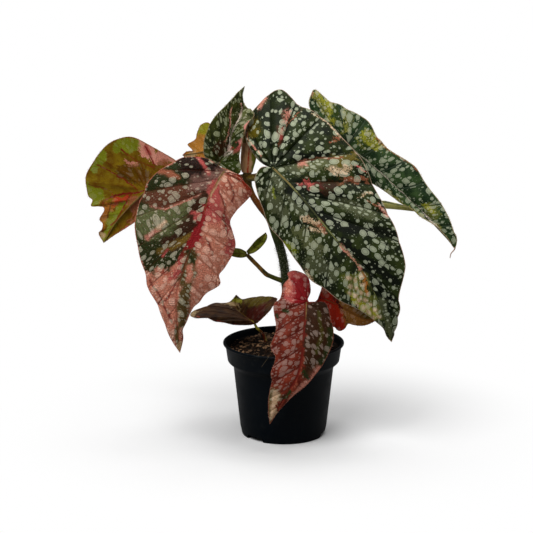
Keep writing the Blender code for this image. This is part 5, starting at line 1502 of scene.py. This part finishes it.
spotted_red = leaf_skin(
    "spotted_red", 0.0008, Ground=(92, 24, 10), Light_ground=(138, 52, 32), Spot=(160, 84, 60),
    Tint_spot=(120, 78, 56), Vein=(90, 20, 14), Rib=(112, 26, 20), Margin=(140, 76, 58), Spot_share=0.8,
    Vein_share=0.12, Spot_size=1.25, Fold_shade=0.8,
)
rim_leaf = {
    "rib": [
        (306.4, 302.3, -35), (306, 315, -48), (304.5, 330, -58), (303, 347, -65), (298, 374, -69),
        (283.5, 399, -68), (270, 423.8, -62),
    ],
    "low": [
        (307.4, 299, -33.5), (310.5, 291.2, -30), (309.2, 280.4, -25), (307, 275.9, -22),
        (301.2, 272.7, -20), (293.6, 270.8, -20), (287.5, 273.3, -22), (288.5, 278.4, -25),
        (283.4, 284.8, -28), (281.5, 294.4, -34), (279.3, 300, -38), (273.3, 306.6, -44), (276, 329.4, -57),
        (270.6, 346.8, -64), (275.5, 357.6, -66), (271, 372.8, -68), (272, 380, -68), (269, 395.6, -66),
        (268.5, 412, -64),
    ],
    "high": [
        (309.5, 303.5, -36), (317, 302.3, -36), (326, 303.4, -35), (330, 316.4, -41), (333, 329.4, -48),
        (332.4, 342.4, -54), (325, 360, -61), (315, 375, -65), (304.2, 387, -67), (293.4, 395.6, -68),
        (278, 411.8, -65),
    ],
    "upper": (0, -1, 0.4),
    "stalk": [(286.5, 308, 1), (293, 312, -10), (302, 308, -26)],
    "stalk_widths": (1.2, 0.9, 0.85, 0.6),
    "low_veins": [
        (0, 0.115), (0, 0.23), (0, 0.345), (0, 0.46), (0.1, 0.54), (0.22, 0.62), (0.36, 0.71), (0.5, 0.79),
        (0.66, 0.87), (0.82, 0.94),
    ],
    "high_veins": [
        (0, 0.1), (0, 0.2), (0.1, 0.32), (0.24, 0.45), (0.4, 0.58), (0.56, 0.7), (0.72, 0.82), (0.86, 0.91),
    ],
    "fan_rows": 16, "rib_rows": 120, "steps": 52, "arch": 2.5, "low_pleat": 1.5, "high_pleat": 1.5,
    "tints": [
        ("crowded_red", None, [(262, 262), (306, 262), (303, 330), (300, 370), (262, 430)]),
        ("rose", None, [
            (288, 271), (302, 271), (311, 282), (311, 296), (306, 302), (284, 298), (284, 284),
        ]),
        ("crimson", None, [(295, 280), (307, 278), (311, 292), (306, 303), (296, 300)]),
        ("salmon", 2.0, [(288, 278), (287, 292)]),
        ("ground", 1.5, [(283, 310), (287, 312)]),
        ("ground", 1.0, [(277, 314), (278, 317)]),
        ("brown", None, [
            (306, 303), (326, 302), (334, 330), (332, 345), (324, 360), (312, 372), (303, 380), (304, 345),
            (306, 320),
        ]),
        ("ground", 2.4, [(331, 332), (331, 345), (325, 358), (317, 369)]),
        ("moss", 0.8, [(319, 312), (322, 336), (316, 352)]),
        ("plum", 4, [(318, 372), (304, 386), (292, 398)]),
        ("pink", 2.0, [(320, 370), (306, 384), (292, 400)]),
        ("sage", 5, [(274, 396), (272, 420)]),
        ("cream", 1.8, [(276, 394), (273, 418)]),
        ("ground", 1.4, [(290, 392), (284, 398)]),
        ("ground", 1.2, [(304, 372), (308, 378)]),
    ],
}
make_leaf("rim_leaf", rim_leaf, (spotted_red, pink_back), "pink_leaf", 28)


# Lower right leaf
# A small leaf low on the right of the stem, red where it starts and orange-olive on its outer half. The blade
# is thin, and its stalk comes from the foot of the cane, behind the rim leaf.

lower_right_leaf = {
    "rib": [(321, 297.5, -8), (336, 304, -2), (350, 312, 2), (363, 318.5, 2), (375, 321, 0)],
    "low": [
        (317, 301, -8), (314, 309, -6), (318, 320, -4), (326, 325, -2), (333.6, 326.5, -1),
        (338.8, 330.7, 0), (344.4, 328.7, 0), (348, 323.8, 1), (353, 324.8, 1), (360.2, 325.8, 1),
        (367.8, 324.6, 1),
    ],
    "high": [
        (320, 293, -7), (323.6, 284.6, -5), (332, 282, 0), (345, 285, 5), (358, 294, 8), (368, 306, 6),
        (373.2, 315, 3),
    ],
    "upper": (0, -1, 0.8),
    "stalk": [(286.5, 314, 1), (296, 317, 3), (309, 309, -2)],
    "stalk_widths": (1.1, 0.8, 0.75, 0.55),
    "low_veins": [(0, 0.15), (0, 0.3), (0.25, 0.5), (0.5, 0.68), (0.75, 0.84)],
    "high_veins": [(0, 0.15), (0, 0.3), (0.25, 0.5), (0.5, 0.68), (0.75, 0.84)],
    "fan_rows": 10, "rib_rows": 50, "steps": 30, "arch": 2.0, "low_pleat": 1.2, "high_pleat": 1.2,
    "tints": [
        ("scarlet", None, [
            (312, 298), (322, 283), (332, 296), (338, 306), (348, 322), (340, 331), (320, 324),
        ]),
        ("pink", 1.4, [(323, 286), (325, 292)]),
        ("amber", None, [(336, 288), (362, 300), (380, 320), (362, 330), (350, 326), (342, 310)]),
        ("olive", 3, [(352, 302), (368, 314)]),
    ],
    "stalk_tints": [("crimson", 4, [(296, 317), (309, 302), (322, 297)])],
}
make_leaf("lower_right_leaf", lower_right_leaf, (spotted_red, pink_back), "pink_leaf", 29)


# Growing tip
# The papery sheath that wraps the youngest bud, dried tan on one side and still green on the other. It is the
# stipule of the last leaf, a thin dry skin that stays on top of the cane until it falls.

STIPULE_SHEATH = [
    ((247.2, 172.3, 0), 10.6), ((247.3, 166, 0), 13.2), ((248.4, 157.5, 0), 15.4), ((248.5, 147, 2), 14),
    ((247.8, 137, 5), 9.6), ((247.4, 129.5, 8), 5), ((247.2, 125, 9), 1.4),
]
SHEATH_FLATNESS = 0.5
sheath_skin = stem_skin("dry_sheath_skin", (186, 134, 90), (214, 172, 128), (226, 196, 160))


def swelling_shoot(name, run, finish, **how):
    """A round shoot from places in the front view, each with its own width."""
    places = in_space([place for place, width in run])
    return round_stalk(name, places, [width for place, width in run], finish, **how)


flattened = (1, SHEATH_FLATNESS, 1)
sheath = swelling_shoot("sheath", STIPULE_SHEATH, sheath_skin, sides=40, steps=12, flat=flattened)
tint(sheath, [
    ("olive", 3, [(244, 132), (243, 142)]), ("lime", 2.4, [(255, 148), (253.5, 168)]),
    ("brick", 1.0, [(249.4, 144), (248.8, 158), (247, 172)]),
], LEAF_PAINTS)
hand_over(sheath, "papery_sheath", "stipule_sheath", slot="dry_sheath")


# Side shoot
# A thin olive-brown shoot from the lower stem that ends in two leaflets. It is soft and living, bends at a
# node halfway, and carries the thin yellow-green leaflets on its forked end.

SIDE_SHOOT = [
    ((284, 281.2, 0), 5.4), ((277, 278.9, 0), 4.6), ((270.6, 276.3, -1), 4.4), ((265.8, 273.8, -1), 4.7),
    ((258, 266, -1), 4.1), ((251.5, 259.4, 0), 4.2), ((246.8, 254.6, 0), 3.6),
]
shoot_skin = stem_skin("side_shoot_skin", (100, 66, 18), (132, 94, 32), (150, 122, 70))
side_shoot = swelling_shoot("side_shoot", SIDE_SHOOT, shoot_skin)
tint(side_shoot, [
    ("green", 5, [(272, 277), (286, 282)]),
    ("olive", 3, [(250, 258), (247, 255)]),
    ("deep", 1.6, [(264, 271), (267, 275)]),
], STEM_PAINTS)
hand_over(side_shoot, "side_shoot_stalk", "side_shoot", slot="stem_skin")
leaflet_skin = leaf_skin(
    "leaflet_skin", Ground=(104, 116, 26), Light_ground=(154, 158, 54), Spot=(174, 176, 100),
    Vein=(82, 72, 22), Rib=(128, 118, 50), Margin=(110, 90, 36), Spot_share=0.3, Vein_share=0.5,
    Spot_size=1.6, Fold_shade=0.85,
)
LEAFLET_VEINS = [(0, 0.12), (0.3, 0.4), (0.6, 0.7)]
side_right_leaf = {
    "rib": [(247.5, 253, 1), (254, 248, 2), (261, 241.5, 2), (265.8, 232.5, 0)],
    "low": [(246.6, 251, 0), (250.4, 246.8, -2), (256, 240.2, -3), (261.7, 235.6, -2)],
    "high": [
        (249.4, 254.4, 0), (254.7, 252.3, -2), (261, 247.2, -3), (265.5, 241.5, -3), (267.2, 236.4, -1),
    ],
    "upper": (0, -1, 0.3),
    "low_veins": LEAFLET_VEINS, "high_veins": LEAFLET_VEINS,
    "fan_rows": 6, "rib_rows": 30, "steps": 14, "arch": -0.3, "low_pleat": 0.3, "high_pleat": 0.3,
}
side_left_leaf = {
    "rib": [(246.8, 254.3, 0), (238, 253.2, 2), (226, 251.4, 3)],
    "low": [(246, 251.6, -1), (240, 248.8, -2), (232, 248.4, 0)],
    "high": [(246.2, 256.9, 0), (240, 257.8, 0), (231.5, 256, 2)],
    "upper": (0, -0.4, 1),
    "low_veins": LEAFLET_VEINS, "high_veins": LEAFLET_VEINS,
    "fan_rows": 6, "rib_rows": 24, "steps": 14, "arch": 0.3, "low_pleat": 0.2, "high_pleat": 0.2,
}
for name, leaf in (("side_right_leaf", side_right_leaf), ("side_left_leaf", side_left_leaf)):
    hand_over(leaf_blade(leaf, (leaflet_skin, leaflet_skin)), name + "let", name, slot="leaf_underside")


# Right shoot
# A young shoot behind the front leaf, still wrapped in its pale green sheath. It is soft and living, leaves
# the cane at a node and swells where its first leaf lies folded inside.

RIGHT_SHOOT = [
    ((271, 225, 1), 3.6), ((290, 226.5, 15), 3.3), ((330, 215, 24), 3.3), ((366, 206, 22), 3.6),
    ((376, 204.2, 21), 6.6), ((384, 204.6, 20), 7.9), ((399, 206.8, 19), 5.9), ((411, 209.4, 18), 3.4),
    ((421, 211.6, 18), 1.2),
]
young_skin = stem_skin("young_shoot_skin", (170, 168, 78), (202, 196, 118), (214, 208, 150))
right_shoot = swelling_shoot("right_shoot", RIGHT_SHOOT, young_skin)
tint(right_shoot, [("green", 0.8, [(376, 202), (386, 202), (400, 205), (414, 209)])], STEM_PAINTS)
hand_over(right_shoot, "young_right_shoot", "right_shoot", slot="young_shoot")


# Root thread
# One pale root thread that has crept over the front of the pot's lip. It is living root about half a
# millimetre thick, grown out of the soil, and lies loose on the plastic.

# Places in metres, from inside the pot over its lip and down the outside.
ROOT_THREAD = [
    (-0.0130, -0.0500, 0.0895), (-0.0142, -0.0555, 0.0925), (-0.0150, -0.0584, 0.0946),
    (-0.0162, -0.0590, 0.0925), (-0.0190, -0.0570, 0.0880), (-0.0216, -0.0552, 0.0835),
]
ROOT_WIDTHS = [0.5, 0.5, 0.45, 0.45, 0.4, 0.25]
root_skin = stem_skin("root_skin", (58, 50, 38), (96, 84, 64), (120, 108, 84))
root = round_stalk("root", np.array(ROOT_THREAD), ROOT_WIDTHS, root_skin, sides=8, steps=6)
tint(root, [], STEM_PAINTS)
hand_over(root, "root_thread", slot="compost")


# Stage
# A plain pale floor, plain soft studio light and the camera, which looks down on the plant from the front.

SENSOR_WIDTH = 36
PHOTO_WIDTH = 533
CAMERA_LENS = SENSOR_WIDTH * VIEW_SCALE / PHOTO_WIDTH
FLOOR_WHITE = 0.92
WORLD_LIGHT = 0.09


def pale_floor():
    """Matt white. Away from the pot it glows by itself, so that it stays as pale as near the lamps."""
    finish, tree, shader, place = new_finish("pale_floor")
    seen = put(tree, "LightPath").outputs["Is Camera Ray"]
    far = rise(tree, put(tree, "VectorMath", {0: place}, operation="LENGTH").outputs["Value"], 0.07, 0.30)
    shown = blend(tree, seen, (0.3, 0.3, 0.3, 1), (FLOOR_WHITE, FLOOR_WHITE, FLOOR_WHITE, 1))
    feed(tree, shader, {"Base Color": shown, "Roughness": 0.9, "Specular IOR Level": 0.0})
    glow = put(tree, "Emission", {"Color": (1, 1, 1, 1), "Strength": 1.0}).outputs[0]
    mix = put(tree, "MixShader", {0: reckon(tree, "MULTIPLY", far, seen), 1: shader.outputs[0], 2: glow})
    tree.links.new(mix.outputs[0], tree.nodes["Material Output"].inputs[0])
    return finish


def soft_light(name, size, power, place, target=(0, 0, 0.16)):
    light = bpy.data.lights.new(name, "AREA")
    light.shape = "RECTANGLE"
    light.size, light.size_y = size
    light.energy = power
    lamp = set_down(name, light)
    lamp.location = place
    lamp.rotation_euler = (Vector(target) - Vector(place)).to_track_quat("-Z", "Y").to_euler()


bpy.ops.mesh.primitive_plane_add(size=60, location=(0, 0, 0))
floor = bpy.context.active_object
floor.name = "studio_floor"
floor.data.materials.append(pale_floor())
world = bpy.data.worlds.new("studio")
bpy.context.scene.world = world
world.use_nodes = True
world.node_tree.nodes["Background"].inputs[0].default_value = (1, 1, 1, 1)
world.node_tree.nodes["Background"].inputs[1].default_value = WORLD_LIGHT
soft_light("key", size=(1.0, 1.0), power=26, place=(-0.55, -1.0, 1.5))
soft_light("top", size=(1.4, 0.9), power=13, place=(0.2, 0.3, 1.5))
camera = bpy.data.cameras.new("camera")
camera.lens = CAMERA_LENS
camera.sensor_width = SENSOR_WIDTH
camera_stand = set_down("camera", camera)
camera_stand.location = EYE
camera_stand.rotation_euler = (math.radians(90) - LOOK_DOWN, 0, 0)
bpy.context.scene.camera = camera_stand
